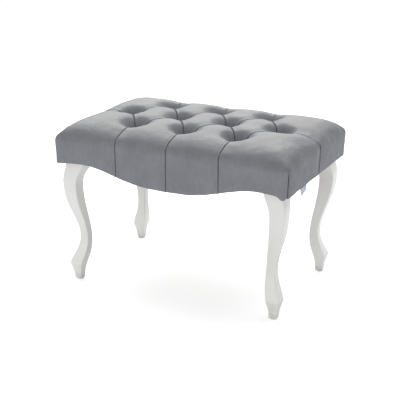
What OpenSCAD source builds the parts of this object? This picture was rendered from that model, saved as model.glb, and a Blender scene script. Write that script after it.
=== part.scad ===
// Bedroom bench: a deep tufted velvet seat on four white cabriole legs.
// Millimetres. +Z is up, the front faces -Y, and the origin is on the floor, under the seat's centre.

/* [Seat] */
// Width of the padded seat along X, at its upper edge
seat_w = 600; // [560:1:760]
// Depth of the padded seat along Y, at its upper edge
seat_d = 400; // [380:1:520]
// Height of the walls at the seat's corners, from the lower edge to the upper edge
wall_h = 72; // [66:0.5:100]
// Rise of the crown above the upper edge
crown_h = 32; // [28:1:40]
// Distance in from the edge over which the crown rises
crown_reach = 120; // [100:1:140]
// How far each wall draws in from its upper edge to its lower edge
wall_draw = 3; // [1:0.5:3.5]
// Radius of the seat's upright corners, at the upper edge
corner_r = 12; // [12:0.5:18]

/* [Tufting] */
// Distance between neighbouring tufts in a row
tuft_pitch = 131; // [120:1:138]
// Distance between the rows of tufts
row_pitch = 97; // [90:1:105]
// Depth of a tuft under the crown
tuft_depth = 36; // [28:1:38]
// Distance over which a tuft draws the cover down
tuft_reach = 28; // [24:1:32]
// Depth of the creases that run from tuft to tuft
crease_depth = 4; // [2:0.5:8]
// Half the width of a crease
crease_reach = 14; // [10:0.5:18]
// Depth of a pleat where it crosses the upper edge
pleat_depth = 3; // [1:0.5:4]

/* [Lower edge] */
// Height above the floor of the lower edge at the seat's corners
low_end_z = 304; // [280:0.5:360]
// Rise of the front and back edges beside each leg, above the corners
arch_rise = 5; // [3:0.5:12]
// Distance in from a corner's arc to the top of that rise
arch_inset = 66; // [50:1:80]
// Drop of the rounded middle of the front and back edges, below that rise
belly_drop = 34; // [20:0.5:42]
// Rise of the middle of the side edges, above the corners
side_rise = 1; // [0.5:0.5:4]
// Distance over which a side edge rises to its full height
side_run = 30; // [20:1:33]

/* [Covering] */
// Thickness of the velvet with its backing
cover_t = 1.2; // [0.8:0.1:1.6]
// Thickness of the wadding under the velvet
wadding_t = 2; // [1.5:0.1:3]
// Space drawn between two soft layers
layer_gap = 0.3; // [0.2:0.1:0.4]
// Width of the velvet turned under the rails
turn_under = 8; // [6:0.5:8]
// Height of the foam at its edge, from the board to the upper edge
foam_edge_h = 20; // [16:1:26]
// Diameter of the holes bored in the foam for the tufts
foam_hole_d = 12; // [8:1:14]

/* [Frame] */
// Thickness of the four shaped rails
rail_t = 14; // [12:0.5:16]
// Thickness of the plywood seat board
board_t = 12; // [9:0.5:16]
// Thickness of the corner plates that the legs bolt to
plate_t = 18; // [15:0.5:22]
// Length of a corner plate's two outer edges
plate_w = 80; // [72:1:96]
// Length of the short edges beside a corner plate's cut corner
plate_nose = 30; // [20:1:40]
// Width of the cleats between the corner plates
cleat_w = 18; // [15:0.5:24]
// Clearance between wooden pieces that are fitted side by side
wood_gap = 0.3; // [0.2:0.1:0.5]
// Thickness of the dust cover under the seat
dust_t = 0.6; // [0.4:0.1:1]
// Clearance of the dust cover round the leg blocks and the rails
dust_gap = 1; // [0.5:0.1:2]

/* [Legs] */
// Side of the square block at the top of a leg
leg_block = 48; // [44:1:52]
// Distance from the foot's axis to the block's outer faces
leg_shoulder = 19; // [17:0.5:21]
// Reach of the knee outwards from the foot's axis, which sets the whole curve
leg_bow = 26; // [24:0.5:30]
// Depth that the leg block's outer faces stand back from the rails
leg_gap = 0.5; // [0.3:0.1:1]
// Depth of the fine rings cut round a foot
ring_depth = 0.8; // [0.4:0.1:1.2]
// Height of one of those rings
ring_h = 1.4; // [1:0.1:2]
// Height of a foot's nylon glide
glide_h = 3; // [2:0.5:5]
// Diameter of a foot's nylon glide
glide_d = 17; // [14:0.5:18]

/* [Fixings] */
// Diameter of the wood screws
screw_d = 3.5; // [3:0.1:4]
// Diameter of a screw's countersunk head
screw_head_d = 7; // [6:0.1:8]
// Height of that head's cone
screw_head_h = 2; // [1.5:0.1:2.5]
// Length of the screws through the board into the rails
board_screw_l = 30; // [25:1:35]
// Length of the screws through plates and cleats up into the board
plate_screw_l = 25; // [22:1:28]
// Length of the screws through the rails' corners
corner_screw_l = 35; // [30:1:45]
// Depth that the corner screws' heads are sunk below the rail's face
corner_screw_sink = 4; // [3.8:0.1:4.5]
// Radial clearance round screws, bolts, nails and staples
fix_gap = 0.05; // [0.02:0.01:0.1]
// Diameter of the hanger bolts that hold the legs
bolt_d = 8; // [6:0.5:8]
// Length of a hanger bolt inside the leg
bolt_in_leg = 30; // [25:1:35]
// Length of a hanger bolt above the leg
bolt_up = 15; // [12:0.5:15]
// Diameter of a tee nut's flange
tee_d = 22; // [18:1:24]
// Thickness of a tee nut's flange
tee_t = 1.5; // [1:0.1:2]
// Diameter of a tee nut's barrel
tee_barrel_d = 10; // [9.5:0.1:11]
// Length of a tee nut's barrel below its flange
tee_barrel_l = 10; // [8:0.5:11]
// Diameter of a glide's nail
nail_d = 2.2; // [1.8:0.1:2.5]
// Diameter of that nail's head
nail_head_d = 6; // [5:0.5:8]
// Thickness of that nail's head
nail_head_t = 1; // [0.6:0.1:1.4]
// Length of that nail above its head
nail_l = 14; // [10:1:18]
// Width of a staple's crown
staple_w = 10; // [8:0.5:12]
// Length of a staple's legs
staple_l = 8; // [6:0.5:10]
// Thickness of staple wire
staple_wire = 0.7; // [0.5:0.1:0.8]

/* [Tuft pieces] */
// Diameter of a covered button
button_d = 15; // [12:0.5:16]
// Height of a covered button's dome above its rim
button_dome = 3; // [2.5:0.5:5]
// Height of a covered button's straight rim
button_rim_h = 1.5; // [1:0.1:2]
// Depth of the gathered cloth below a button's rim
button_root = 7; // [6.5:0.5:9]
// Diameter of the tufting twine
twine_d = 1.6; // [1:0.1:2]
// Diameter of the knot that holds a twine
knot_d = 4; // [3:0.5:5]
// Diameter of the plastic disc behind a knot
disc_d = 20; // [16:1:24]
// Thickness of that disc
disc_t = 2; // [1.5:0.1:3]
// Clearance of a twine in its disc
disc_gap = 0.3; // [0.2:0.1:0.5]
// Diameter of the twine holes in the board
twine_hole_d = 6; // [5:0.5:8]

/* [Side label] */
// Length of the bare label along the seat's side
label_w = 40; // [30:1:50]
// Length of label that hangs below the edge
label_drop = 13; // [8:0.5:18]
// Length of label sewn under the turned edge
label_tab = 4; // [3:0.5:4.5]
// Thickness of the folded label
label_t = 0.6; // [0.4:0.1:1]
// Distance of the label's middle from the seat's centre, towards the front
label_y = 98; // [60:1:110]

/* [Hidden] */

// Overrun of a cut past the face that it leaves
cut = 1;
round_fn = 48;
small_fn = 24;
foam_hole_fn = 8;
dome_step = 15;

// Plan of the seat: half sizes at the upper edge, and the centres of the corner arcs
half_x = seat_w / 2;
half_y = seat_d / 2;
arc_x = half_x - corner_r;
arc_y = half_y - corner_r;

// Depths of the soft layers below the seat's outside
wadding_in = cover_t + layer_gap;
foam_in = wadding_in + wadding_t + layer_gap;

// Corner radii of the seat's lower edge, of its turned-under rim and of the wooden frame
low_r = corner_r - wall_draw;
rim_r = low_r - turn_under;
rail_r = low_r - foam_in;

// Half sizes of the frame, outside and inside the rails
rail_x = arc_x + rail_r;
rail_y = arc_y + rail_r;
bay_x = rail_x - rail_t;
bay_y = rail_y - rail_t;

// Heights of the upper edge and of the frame
edge_z = low_end_z + wall_h;
board_top = edge_z - foam_edge_h;
board_low = board_top - board_t;
plate_low = board_low - plate_t;
rail_lift = cover_t + layer_gap;

// Places of the legs: the foot's axis and the bolt's axis
leg_x = bay_x - leg_gap - leg_shoulder;
leg_y = bay_y - leg_gap - leg_shoulder;
bolt_off = leg_shoulder - leg_block / 2;
shoulder_z = low_end_z - leg_gap * 2;
corners = [[-1, -1], [1, -1], [-1, 1], [1, 1]];

// Curve of a leg above its toe: height, outer face and inner face.
// Heights are shares of the curved length, faces are shares of the knee's reach.
leg_curve_shares = [
  [0.135, 0.66, -0.565], [0.16, 0.60, -0.65], [0.21, 0.37, -0.80], [0.265, 0.12, -0.90],
  [0.34, -0.055, -0.94], [0.43, -0.01, -0.88], [0.53, 0.27, -0.73], [0.63, 0.63, -0.56],
  [0.715, 0.86, -0.455], [0.79, 0.97, -0.41], [0.855, 1, -0.44], [0.905, 0.94, -0.62],
  [0.95, 0.84, -0.88]
];
// Taper of the foot below the toe, in the same shares
foot_shares = [[0, 0.36, -0.36], [0.05, 0.42, -0.39], [0.1, 0.56, -0.48]];
// Heights of the rings cut round the foot, as shares of the curved length
ring_shares = [0.012, 0.028];
curve_h = shoulder_z - glide_h;
curve_steps = 3;

// Grid lines of the seat's top: close beside each column and row of tufts, and then out to the edge
near_share = 0.25;
half_pitch = tuft_pitch / 2;
last_x = 3 * half_pitch;
row_end_y = ((1 + near_share) * row_pitch + arc_y) / 2;
x_side = concat(
  [for (k = [0:2]) for (s = [0, near_share, 1 - near_share]) (k + s) * half_pitch],
  [last_x, last_x + near_share * half_pitch],
  [(last_x + near_share * half_pitch + arc_x) / 2, arc_x, half_x]
);
y_side = concat(
  [for (s = [0, near_share, 1 - near_share, 1, 1 + near_share]) s * row_pitch],
  [row_end_y, arc_y, half_y]
);
x_lines = both_sides(x_side);
y_lines = both_sides(y_side);
nx = len(x_lines) - 1;
ny = len(y_lines) - 1;
rim_n = 2 * (nx + ny);
cap_n = (nx + 1) * (ny + 1);

// Tufts in rows of 3, 4 and 3, the creases between them and the pleats that run out to the edge
tufts = concat(
  [for (row = [-1, 1]) for (k = [-2, 0, 2]) [k * half_pitch, row * row_pitch]],
  [for (k = [-3, -1, 1, 3]) [k * half_pitch, 0]]
);
creases = [
  for (row = [-1, 1]) for (k = [-2, 0, 2]) for (step = [-1, 1])
    [[k * half_pitch, row * row_pitch], [(k + step) * half_pitch, 0]]
];
pleats = concat(
  [for (row = [-1, 1]) for (k = [-2, 0, 2])
    [[k * half_pitch, row * row_pitch], [k * half_pitch, row * half_y]]],
  [for (side = [-1, 1]) [[side * last_x, 0], [side * half_x, 0]]]
);
tuft_z = edge_z + crown_h - tuft_depth;
// Powers that shape the crown's fall, its roll into the edge, its corners, and the belly's swing
crown_power = 2.5;
roll_power = 0.75;
corner_blend = 4;
belly_power = 1.35;
// Difference below which two shares count as the same
same_share = 0.01;
// How far a two-step corner stands out so that it clears the round corner inside it
clear_share = 1 / pow(cos(22.5), 2);

// Places of the fixings, as shares of the pieces that carry them
board_screw_shares = [-0.8, -0.3, 0.3, 0.8];
side_screw_shares = [-0.5, 0.5];
corner_screw_shares = [0.3, 0.72];
cleat_screw_shares = [-0.7, 0, 0.7];
dust_staple_shares = [-0.88, -0.5, -0.22, 0.22, 0.5, 0.88];
side_staple_shares = [-0.9, -0.3, 0.3, 0.9];
plate_screw_shares = [0.78, 0.175];
cleat_x = bay_x - 2 * wood_gap - plate_w;
cleat_y = bay_y - 2 * wood_gap - plate_w;
// Depth of a nail's head inside its glide, and its radial clearance there
nail_seat = glide_h / 10;
head_gap = 2 * fix_gap;
// Drop of a staple's crown under the velvet, and the staples' distance out from the corner arcs' centres
staple_drop = staple_wire / 7;
staple_out = (rail_r + rim_r) / 2;

function both_sides(side) = concat([for (k = [len(side) - 1:-1:1]) -side[k]], side);
function clamp(v, low, high) = max(low, min(high, v));

// Distance from point p to the stretch from a to b
function stretch_dist(p, a, b) =
  let (d = b - a, t = clamp((p - a) * d / (d * d), 0, 1))
  norm(p - a - t * d);
function nearest(p, stretches) = min([for (s = stretches) stretch_dist(p, s[0], s[1])]);

// Distance in from the edge, blended smoothly where two edges meet at a corner
function inset(x, y) =
  let (sx = half_x - abs(x), sy = half_y - abs(y))
  sx <= 0 || sy <= 0 ? 0 : pow(pow(sx, -corner_blend) + pow(sy, -corner_blend), -1 / corner_blend);
function rise(x, y) = pow(1 - pow(1 - min(inset(x, y) / crown_reach, 1), crown_power), roll_power);

// Height of the seat's outside: crown, less creases and pleats, less the tufts
function bell(d, reach) = exp(-pow(d / reach, 2));
function top_z(x, y) =
  let (p = [x, y], r = rise(x, y), d = nearest(p, concat(creases, pleats)))
  let (pull = min([for (t = tufts) norm(p - t)]))
  edge_z + crown_h * r
  - crease_depth * r * bell(d, crease_reach)
  - (tuft_depth - crease_depth) * bell(pull, tuft_reach);

// Lower edge of the front and back walls at x, and of the side walls at y
function front_low_z(x) =
  let (far = arc_x - arch_inset, a = min(abs(x), arc_x), s = pow(a / far, belly_power))
  a < far
    ? low_end_z + arch_rise - belly_drop * (1 + cos(180 * s)) / 2
    : low_end_z + arch_rise * (1 - pow((a - far) / arch_inset, 2));
function side_low_z(y) =
  let (far = row_end_y - side_run, a = clamp(abs(y), far, row_end_y))
  low_end_z + side_rise * (1 - pow((a - far) / side_run, 2));
function low_z(x, y) =
  abs(x) > arc_x && abs(y) > arc_y ? low_end_z : abs(x) > arc_x ? side_low_z(y) : front_low_z(x);

// The closed line of grid points round the seat, as pairs of grid numbers
rim_walk = concat(
  [for (i = [0:nx - 1]) [i, 0]], [for (j = [0:ny - 1]) [nx, j]],
  [for (i = [nx:-1:1]) [i, ny]], [for (j = [ny:-1:1]) [0, j]]
);

// Plan place of a grid point on the rim whose corner radius is r, and whose corner stands out by a share
function rim_point(i, j, r, out = 1) =
  let (sx = i == 0 ? -1 : i == nx ? 1 : 0, sy = j == 0 ? -1 : j == ny ? 1 : 0)
  let (reach = sx != 0 && sy != 0 ? r * out * cos(45) : r)
  [sx != 0 ? sx * (arc_x + reach) : x_lines[i], sy != 0 ? sy * (arc_y + reach) : y_lines[j]];

// How far a pleat pulls the rim inwards at a grid point
function pleat_pull(i, j) =
  let (on_end = j == 0 || j == ny, k = abs(x_lines[i]) / tuft_pitch)
  (on_end && (k == 0 || abs(k - 1) < same_share)) || (!on_end && y_lines[j] == 0) ? pleat_depth : 0;
function pulled(p, pull) =
  let (end = abs(p[1]) > arc_y)
  end ? [p[0], p[1] - sign(p[1]) * pull] : [p[0] - sign(p[0]) * pull, p[1]];

// Points of the seat's top, and of the rims below it, at a depth under the outside
function cap_points(depth) = [
  for (j = [0:ny]) for (i = [0:nx])
    let (on_rim = i == 0 || j == 0 || i == nx || j == ny)
    let (p = on_rim ? pulled(rim_point(i, j, corner_r - depth), pleat_pull(i, j)) : [x_lines[i], y_lines[j]])
    [p[0], p[1], on_rim ? edge_z : top_z(x_lines[i], y_lines[j]) - depth]
];
function flat_rim(r, z, out = 1) = [
  for (g = rim_walk) let (p = rim_point(g[0], g[1], r, out)) [p[0], p[1], z]
];
function low_rim(r, lift, out = 1) = [
  for (g = rim_walk) let (p = rim_point(g[0], g[1], r, out)) [p[0], p[1], low_z(p[0], p[1]) + lift]
];

// Numbers of a cap's rim points, and of the points of a separate rim that starts at a number
function cap_rim(first) = [for (g = rim_walk) first + g[1] * (nx + 1) + g[0]];
function rim_run(first) = [for (k = [0:rim_n - 1]) first + k];

// A cell is split along the crease that crosses it
function split_up(x, y) =
  let (even = (floor(abs(x) / half_pitch) + floor(abs(y) / row_pitch)) % 2 == 0)
  x * y < 0 ? even : !even;
function cap_faces(first) = [
  for (j = [0:ny - 1]) for (i = [0:nx - 1])
    let (a = first + j * (nx + 1) + i, b = a + 1, c = a + nx + 1, d = c + 1)
    let (up = split_up((x_lines[i] + x_lines[i + 1]) / 2, (y_lines[j] + y_lines[j + 1]) / 2))
    for (f = up ? [[a, d, b], [a, c, d]] : [[a, c, b], [b, c, d]]) f
];
function turned(faces) = [for (f = faces) [f[2], f[1], f[0]]];
function strip(upper, lower) = [
  for (k = [0:rim_n - 1])
    let (n = (k + 1) % rim_n)
    for (f = [[upper[k], upper[n], lower[k]], [upper[n], lower[n], lower[k]]]) f
];

// The point at share t along the second stretch of four neighbouring values
function glide_between(a, b, c, d, t) =
  0.5 * (2 * b + (c - a) * t + (2 * a - 5 * b + 4 * c - d) * t * t + (3 * b - a - 3 * c + d) * t * t * t);
function smooth_rows(rows, steps) = [
  for (k = [0:len(rows) - 2]) for (s = [0:steps - 1])
    glide_between(rows[max(k - 1, 0)], rows[k], rows[k + 1], rows[min(k + 2, len(rows) - 1)], s / steps)
];

// One leg: the same curved outline cut along both directions, a square section at every height
ring_rows = [
  for (share = ring_shares)
    let (z = glide_h + share * curve_h, w = foot_shares[0][1] * leg_bow)
    for (step = [[0, 0], [0, -ring_depth], [ring_h, -ring_depth], [ring_h, 0]])
      [z + step[0], w + step[1], -w - step[1]]
];
leg_rows = concat(
  [[glide_h, foot_shares[0][1] * leg_bow, foot_shares[0][2] * leg_bow]],
  ring_rows,
  [for (k = [1:len(foot_shares) - 1]) leg_row(foot_shares[k])],
  [for (row = smooth_rows([
    for (s = leg_curve_shares) leg_row(s),
    [shoulder_z, leg_shoulder, leg_shoulder - leg_block]
  ], curve_steps)) row],
  [for (z = [shoulder_z, plate_low]) [z, leg_shoulder, leg_shoulder - leg_block]]
);
function leg_row(s) = [glide_h + s[0] * curve_h, s[1] * leg_bow, s[2] * leg_bow];
leg_outline = concat(
  [for (row = leg_rows) [row[1], row[0]]],
  [for (k = [len(leg_rows) - 1:-1:0]) [leg_rows[k][2], leg_rows[k][0]]]
);

module at_corner(c) {
  translate([c[0] * leg_x, c[1] * leg_y, 0])
    mirror([c[0] < 0 ? 1 : 0, 0, 0])
      mirror([0, c[1] < 0 ? 1 : 0, 0])
        children();
}

module leg(c) {
  color("#f4f4f2")
    at_corner(c)
      difference() {
        intersection() {
          rotate([90, 0, 0])
            linear_extrude(height = 2 * leg_block, center = true)
              polygon(leg_outline);
          rotate([90, 0, 90])
            linear_extrude(height = 2 * leg_block, center = true)
              polygon(leg_outline);
        }
        translate([bolt_off, bolt_off, plate_low - bolt_in_leg - fix_gap])
          cylinder(h = bolt_in_leg + cut, d = bolt_d + 2 * fix_gap, $fn = round_fn);
        cylinder(h = nail_seat + nail_l + fix_gap, d = nail_d + 2 * fix_gap, $fn = small_fn);
      }
}
module leg_front_left() { leg(corners[0]); }
module leg_front_right() { leg(corners[1]); }
module leg_back_left() { leg(corners[2]); }
module leg_back_right() { leg(corners[3]); }

// A glide is a nylon disc with a bevelled tread and a pocket for its nail's head
module foot_glide(c) {
  bevel = glide_h / 4;
  pocket_h = nail_seat + nail_head_t + fix_gap;
  color("#dededa")
    at_corner(c)
      difference() {
        union() {
          cylinder(h = bevel, d1 = glide_d - 2 * bevel, d2 = glide_d, $fn = round_fn);
          translate([0, 0, bevel])
            cylinder(h = glide_h - bevel, d = glide_d, $fn = round_fn);
        }
        translate([0, 0, -cut])
          cylinder(h = pocket_h + cut, d = nail_head_d + 2 * head_gap, $fn = small_fn);
        cylinder(h = glide_h + cut, d = nail_d + 2 * fix_gap, $fn = small_fn);
      }
}
module glide_front_left() { foot_glide(corners[0]); }
module glide_front_right() { foot_glide(corners[1]); }
module glide_back_left() { foot_glide(corners[2]); }
module glide_back_right() { foot_glide(corners[3]); }

module glide_nails() {
  color("#b8bcc0")
    for (c = corners)
      at_corner(c) {
        translate([0, 0, nail_seat])
          cylinder(h = nail_head_t, d = nail_head_d, $fn = small_fn);
        translate([0, 0, nail_seat])
          cylinder(h = nail_l, d = nail_d, $fn = small_fn);
      }
}

module rounded_plan(hx, hy, r) {
  square([2 * hx, 2 * (hy - r)], center = true);
  square([2 * (hx - r), 2 * hy], center = true);
  for (sx = [-1, 1], sy = [-1, 1])
    translate([sx * (hx - r), sy * (hy - r)])
      circle(r = r, $fn = round_fn);
}

// Countersunk screw with its head's top at the origin, pointing down, and the hole that takes it
module screw(l, gap = 0) {
  tip = screw_d;
  translate([0, 0, -screw_head_h])
    cylinder(h = screw_head_h, d1 = screw_d + 2 * gap, d2 = screw_head_d + 2 * gap, $fn = small_fn);
  translate([0, 0, tip - l])
    cylinder(h = l - tip - screw_head_h, d = screw_d + 2 * gap, $fn = small_fn);
  translate([0, 0, -l - gap])
    cylinder(h = tip + gap, d1 = gap, d2 = screw_d + 2 * gap, $fn = small_fn);
}

function board_screw_spots() = concat(
  [for (s = board_screw_shares) for (side = [-1, 1]) [s * rail_x, side * (rail_y - rail_t / 2)]],
  [for (s = side_screw_shares) for (side = [-1, 1]) [side * (rail_x - rail_t / 2), s * rail_y]]
);
module board_screw_set(gap = 0) {
  for (p = board_screw_spots())
    translate([p[0], p[1], board_top])
      screw(board_screw_l, gap);
}
module board_screws() { color("#c9b37a") board_screw_set(); }

// Screws through the front and back rails into the ends of the side rails
function corner_screw_z(share) = low_end_z + rail_lift + share * (board_low - low_end_z - rail_lift);
module corner_screw_set(gap = 0) {
  for (c = corners, share = corner_screw_shares)
    translate([c[0] * (rail_x - rail_t / 2), c[1] * (rail_y - corner_screw_sink), corner_screw_z(share)])
      rotate([c[1] > 0 ? -90 : 90, 0, 0]) {
        screw(corner_screw_l, gap);
        if (gap > 0)
          cylinder(h = corner_screw_sink + cut, d = screw_head_d + 2 * gap, $fn = small_fn);
      }
}
module corner_screws() { color("#c9b37a") corner_screw_set(); }

// Lower edge of a front or back rail, along the same lines as the velvet that covers it
module long_rail(side) {
  inner = [for (x = x_lines) if (abs(x) <= arc_x) x];
  xs = concat([-rail_x], inner, [rail_x]);
  color("#d9b98a")
    difference() {
      intersection() {
        translate([0, side * (rail_y - rail_t / 2), 0])
          rotate([90, 0, 0])
            linear_extrude(height = rail_t, center = true)
              polygon(concat(
                [for (x = xs) [x, front_low_z(x) + rail_lift]],
                [[rail_x, board_low], [-rail_x, board_low]]
              ));
        linear_extrude(height = edge_z)
          rounded_plan(rail_x, rail_y, rail_r);
      }
      board_screw_set(fix_gap);
      corner_screw_set(fix_gap);
      cover_staple_slots();
    }
}
module front_rail() { long_rail(-1); }
module back_rail() { long_rail(1); }

module short_rail(side) {
  inner = [for (y = y_lines) if (abs(y) < bay_y - wood_gap) y];
  ys = concat([wood_gap - bay_y], inner, [bay_y - wood_gap]);
  color("#d9b98a")
    difference() {
      translate([side * (rail_x - rail_t / 2), 0, 0])
        rotate([90, 0, 90])
          linear_extrude(height = rail_t, center = true)
            polygon(concat(
              [for (y = ys) [y, side_low_z(y) + rail_lift]],
              [[bay_y - wood_gap, board_low], [wood_gap - bay_y, board_low]]
            ));
      board_screw_set(fix_gap);
      corner_screw_set(fix_gap);
      cover_staple_slots();
    }
}
module left_rail() { short_rail(-1); }
module right_rail() { short_rail(1); }

// Corner plates: cut-cornered squares under the board, each with a tee nut over its leg
module plate_outline() {
  polygon([
    [0, 0], [-plate_w, 0], [-plate_w, -plate_nose], [-plate_nose, -plate_w], [0, -plate_w]
  ]);
}
function plate_screw_spots() = [
  for (s = [plate_screw_shares, [plate_screw_shares[1], plate_screw_shares[0]]]) -plate_w * s
];
module at_plate(c) {
  mirror([c[0] < 0 ? 1 : 0, 0, 0])
    mirror([0, c[1] < 0 ? 1 : 0, 0])
      translate([bay_x - wood_gap, bay_y - wood_gap, 0])
        children();
}
module plate_screw_set(gap = 0) {
  for (c = corners)
    at_plate(c)
      for (p = plate_screw_spots())
        translate([p[0], p[1], plate_low])
          rotate([180, 0, 0])
            screw(plate_screw_l, gap);
}
module plate_screws() { color("#c9b37a") plate_screw_set(); }
module corner_plate(c) {
  color("#caa877")
    difference() {
      at_plate(c)
        translate([0, 0, plate_low])
          linear_extrude(height = plate_t)
            plate_outline();
      at_corner(c)
        translate([bolt_off, bolt_off, 0]) {
          translate([0, 0, plate_low - cut])
            cylinder(h = plate_t + 2 * cut, d = tee_barrel_d + 2 * wood_gap, $fn = round_fn);
          translate([0, 0, board_low - tee_t - fix_gap])
            cylinder(h = tee_t + cut, d = tee_d + 2 * wood_gap, $fn = round_fn);
        }
      plate_screw_set(fix_gap);
    }
}
module plate_front_left() { corner_plate(corners[0]); }
module plate_front_right() { corner_plate(corners[1]); }
module plate_back_left() { corner_plate(corners[2]); }
module plate_back_right() { corner_plate(corners[3]); }

module hanger_bolts() {
  color("#b8bcc0")
    for (c = corners)
      at_corner(c)
        translate([bolt_off, bolt_off, plate_low - bolt_in_leg])
          cylinder(h = bolt_in_leg + bolt_up, d = bolt_d, $fn = round_fn);
}
module tee_nuts() {
  color("#a9adb2")
    for (c = corners)
      at_corner(c)
        translate([bolt_off, bolt_off, 0])
          difference() {
            union() {
              translate([0, 0, board_low - tee_t])
                cylinder(h = tee_t, d = tee_d, $fn = round_fn);
              translate([0, 0, board_low - tee_t - tee_barrel_l])
                cylinder(h = tee_barrel_l + tee_t / 2, d = tee_barrel_d, $fn = round_fn);
            }
            translate([0, 0, plate_low])
              cylinder(h = plate_t + cut, d = bolt_d + 2 * fix_gap, $fn = round_fn);
          }
}

// Cleats between the plates: they stiffen the board and carry the dust cover
function cleat_screw_spots() = concat(
  [for (s = cleat_screw_shares) for (side = [-1, 1]) [s * cleat_x, side * (bay_y - wood_gap - cleat_w / 2)]],
  [for (s = [-1, 1]) for (side = [-1, 1])
    [side * (bay_x - wood_gap - cleat_w / 2), s * cleat_y * cleat_screw_shares[2]]]
);
module cleat_screw_set(gap = 0) {
  for (p = cleat_screw_spots())
    translate([p[0], p[1], plate_low])
      rotate([180, 0, 0])
        screw(plate_screw_l, gap);
}
module cleat_screws() { color("#c9b37a") cleat_screw_set(); }
module cleat(at, size) {
  color("#dcc297")
    difference() {
      translate([at[0], at[1], plate_low + plate_t / 2])
        cube([size[0], size[1], plate_t], center = true);
      cleat_screw_set(fix_gap);
      dust_staple_set(fix_gap);
    }
}
module front_cleat() { cleat([0, wood_gap + cleat_w / 2 - bay_y], [2 * cleat_x, cleat_w]); }
module back_cleat() { cleat([0, bay_y - wood_gap - cleat_w / 2], [2 * cleat_x, cleat_w]); }
module left_cleat() { cleat([wood_gap + cleat_w / 2 - bay_x, 0], [cleat_w, 2 * cleat_y]); }
module right_cleat() { cleat([bay_x - wood_gap - cleat_w / 2, 0], [cleat_w, 2 * cleat_y]); }

module seat_board() {
  color("#d9b98a")
    difference() {
      translate([0, 0, board_low])
        linear_extrude(height = board_t)
          rounded_plan(rail_x, rail_y, rail_r);
      for (t = tufts)
        translate([t[0], t[1], board_low - cut])
          cylinder(h = board_t + 2 * cut, d = twine_hole_d, $fn = small_fn);
      board_screw_set(fix_gap);
      plate_screw_set(fix_gap);
      cleat_screw_set(fix_gap);
    }
}

// Foam: the tufted crown on a flat base, bored through under each tuft
module foam_pad() {
  cap = cap_points(foam_in);
  base = flat_rim(rail_r, board_top);
  color("#efe3b0")
    difference() {
      polyhedron(
        points = concat(cap, base),
        faces = concat(
          cap_faces(0),
          strip(cap_rim(0), rim_run(cap_n)),
          [[for (k = [0:rim_n - 1]) cap_n + k]]
        )
      );
      for (t = tufts)
        translate([t[0], t[1], board_top - cut])
          cylinder(h = foam_edge_h + crown_h + cut, d = foam_hole_d, $fn = foam_hole_fn);
    }
}

// Wadding: a thin blanket over the foam and down over the outside of the rails
module wadding() {
  outer = cap_points(wadding_in);
  inner = cap_points(wadding_in + wadding_t);
  skirt_r = rail_r + layer_gap;
  outer_low = low_rim(low_r - wadding_in, rail_lift);
  inner_mid = flat_rim(skirt_r, board_top, clear_share);
  inner_low = low_rim(skirt_r, rail_lift, clear_share);
  first = 2 * cap_n;
  color("#f2f2ee")
    polyhedron(
      points = concat(outer, inner, outer_low, inner_low, inner_mid),
      faces = concat(
        cap_faces(0),
        turned(cap_faces(cap_n)),
        strip(cap_rim(0), rim_run(first)),
        strip(rim_run(first), rim_run(first + rim_n)),
        turned(strip(rim_run(first + 2 * rim_n), rim_run(first + rim_n))),
        turned(strip(cap_rim(cap_n), rim_run(first + 2 * rim_n)))
      )
    );
}

// Cover: one skin of velvet over the crown, down the walls and turned in under the rails
module seat_cover() {
  outer = cap_points(0);
  inner = cap_points(cover_t);
  outer_low = low_rim(low_r, 0);
  outer_rim = low_rim(rim_r, 0);
  inner_rim = low_rim(rim_r, cover_t);
  inner_low = low_rim(low_r - cover_t, cover_t);
  first = 2 * cap_n;
  color("#7d8188")
    polyhedron(
      points = concat(outer, inner, outer_low, outer_rim, inner_rim, inner_low),
      faces = concat(
        cap_faces(0),
        turned(cap_faces(cap_n)),
        strip(cap_rim(0), rim_run(first)),
        strip(rim_run(first), rim_run(first + rim_n)),
        strip(rim_run(first + rim_n), rim_run(first + 2 * rim_n)),
        turned(strip(rim_run(first + 3 * rim_n), rim_run(first + 2 * rim_n))),
        turned(strip(cap_rim(cap_n), rim_run(first + 3 * rim_n)))
      )
    );
}

// Covered buttons: a low dome on a gathered root, down in each tuft
module tuft_buttons() {
  rim_z = tuft_z + layer_gap + button_root;
  color("#74787f")
    for (t = tufts)
      translate([t[0], t[1], 0])
        rotate_extrude($fn = small_fn)
          polygon(concat(
            [[0, tuft_z + layer_gap], [button_d / 2, rim_z]],
            [for (a = [0:dome_step:90])
              [button_d / 2 * cos(a), rim_z + button_rim_h + (button_dome - button_rim_h) * sin(a)]]
          ));
}
module tuft_twines() {
  top = tuft_z - foam_in - layer_gap;
  low = board_low - disc_t - knot_d / 2;
  color("#e8e4d8")
    for (t = tufts)
      translate([t[0], t[1], low]) {
        cylinder(h = top - low, d = twine_d, $fn = small_fn);
        sphere(d = knot_d, $fn = small_fn);
      }
}
module twine_discs() {
  color("#d7d9dc")
    for (t = tufts)
      translate([t[0], t[1], board_low - disc_t])
        difference() {
          cylinder(h = disc_t, d = disc_d, $fn = round_fn);
          translate([0, 0, -cut])
            cylinder(h = disc_t + 2 * cut, d = twine_d + 2 * disc_gap, $fn = small_fn);
        }
}

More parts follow.
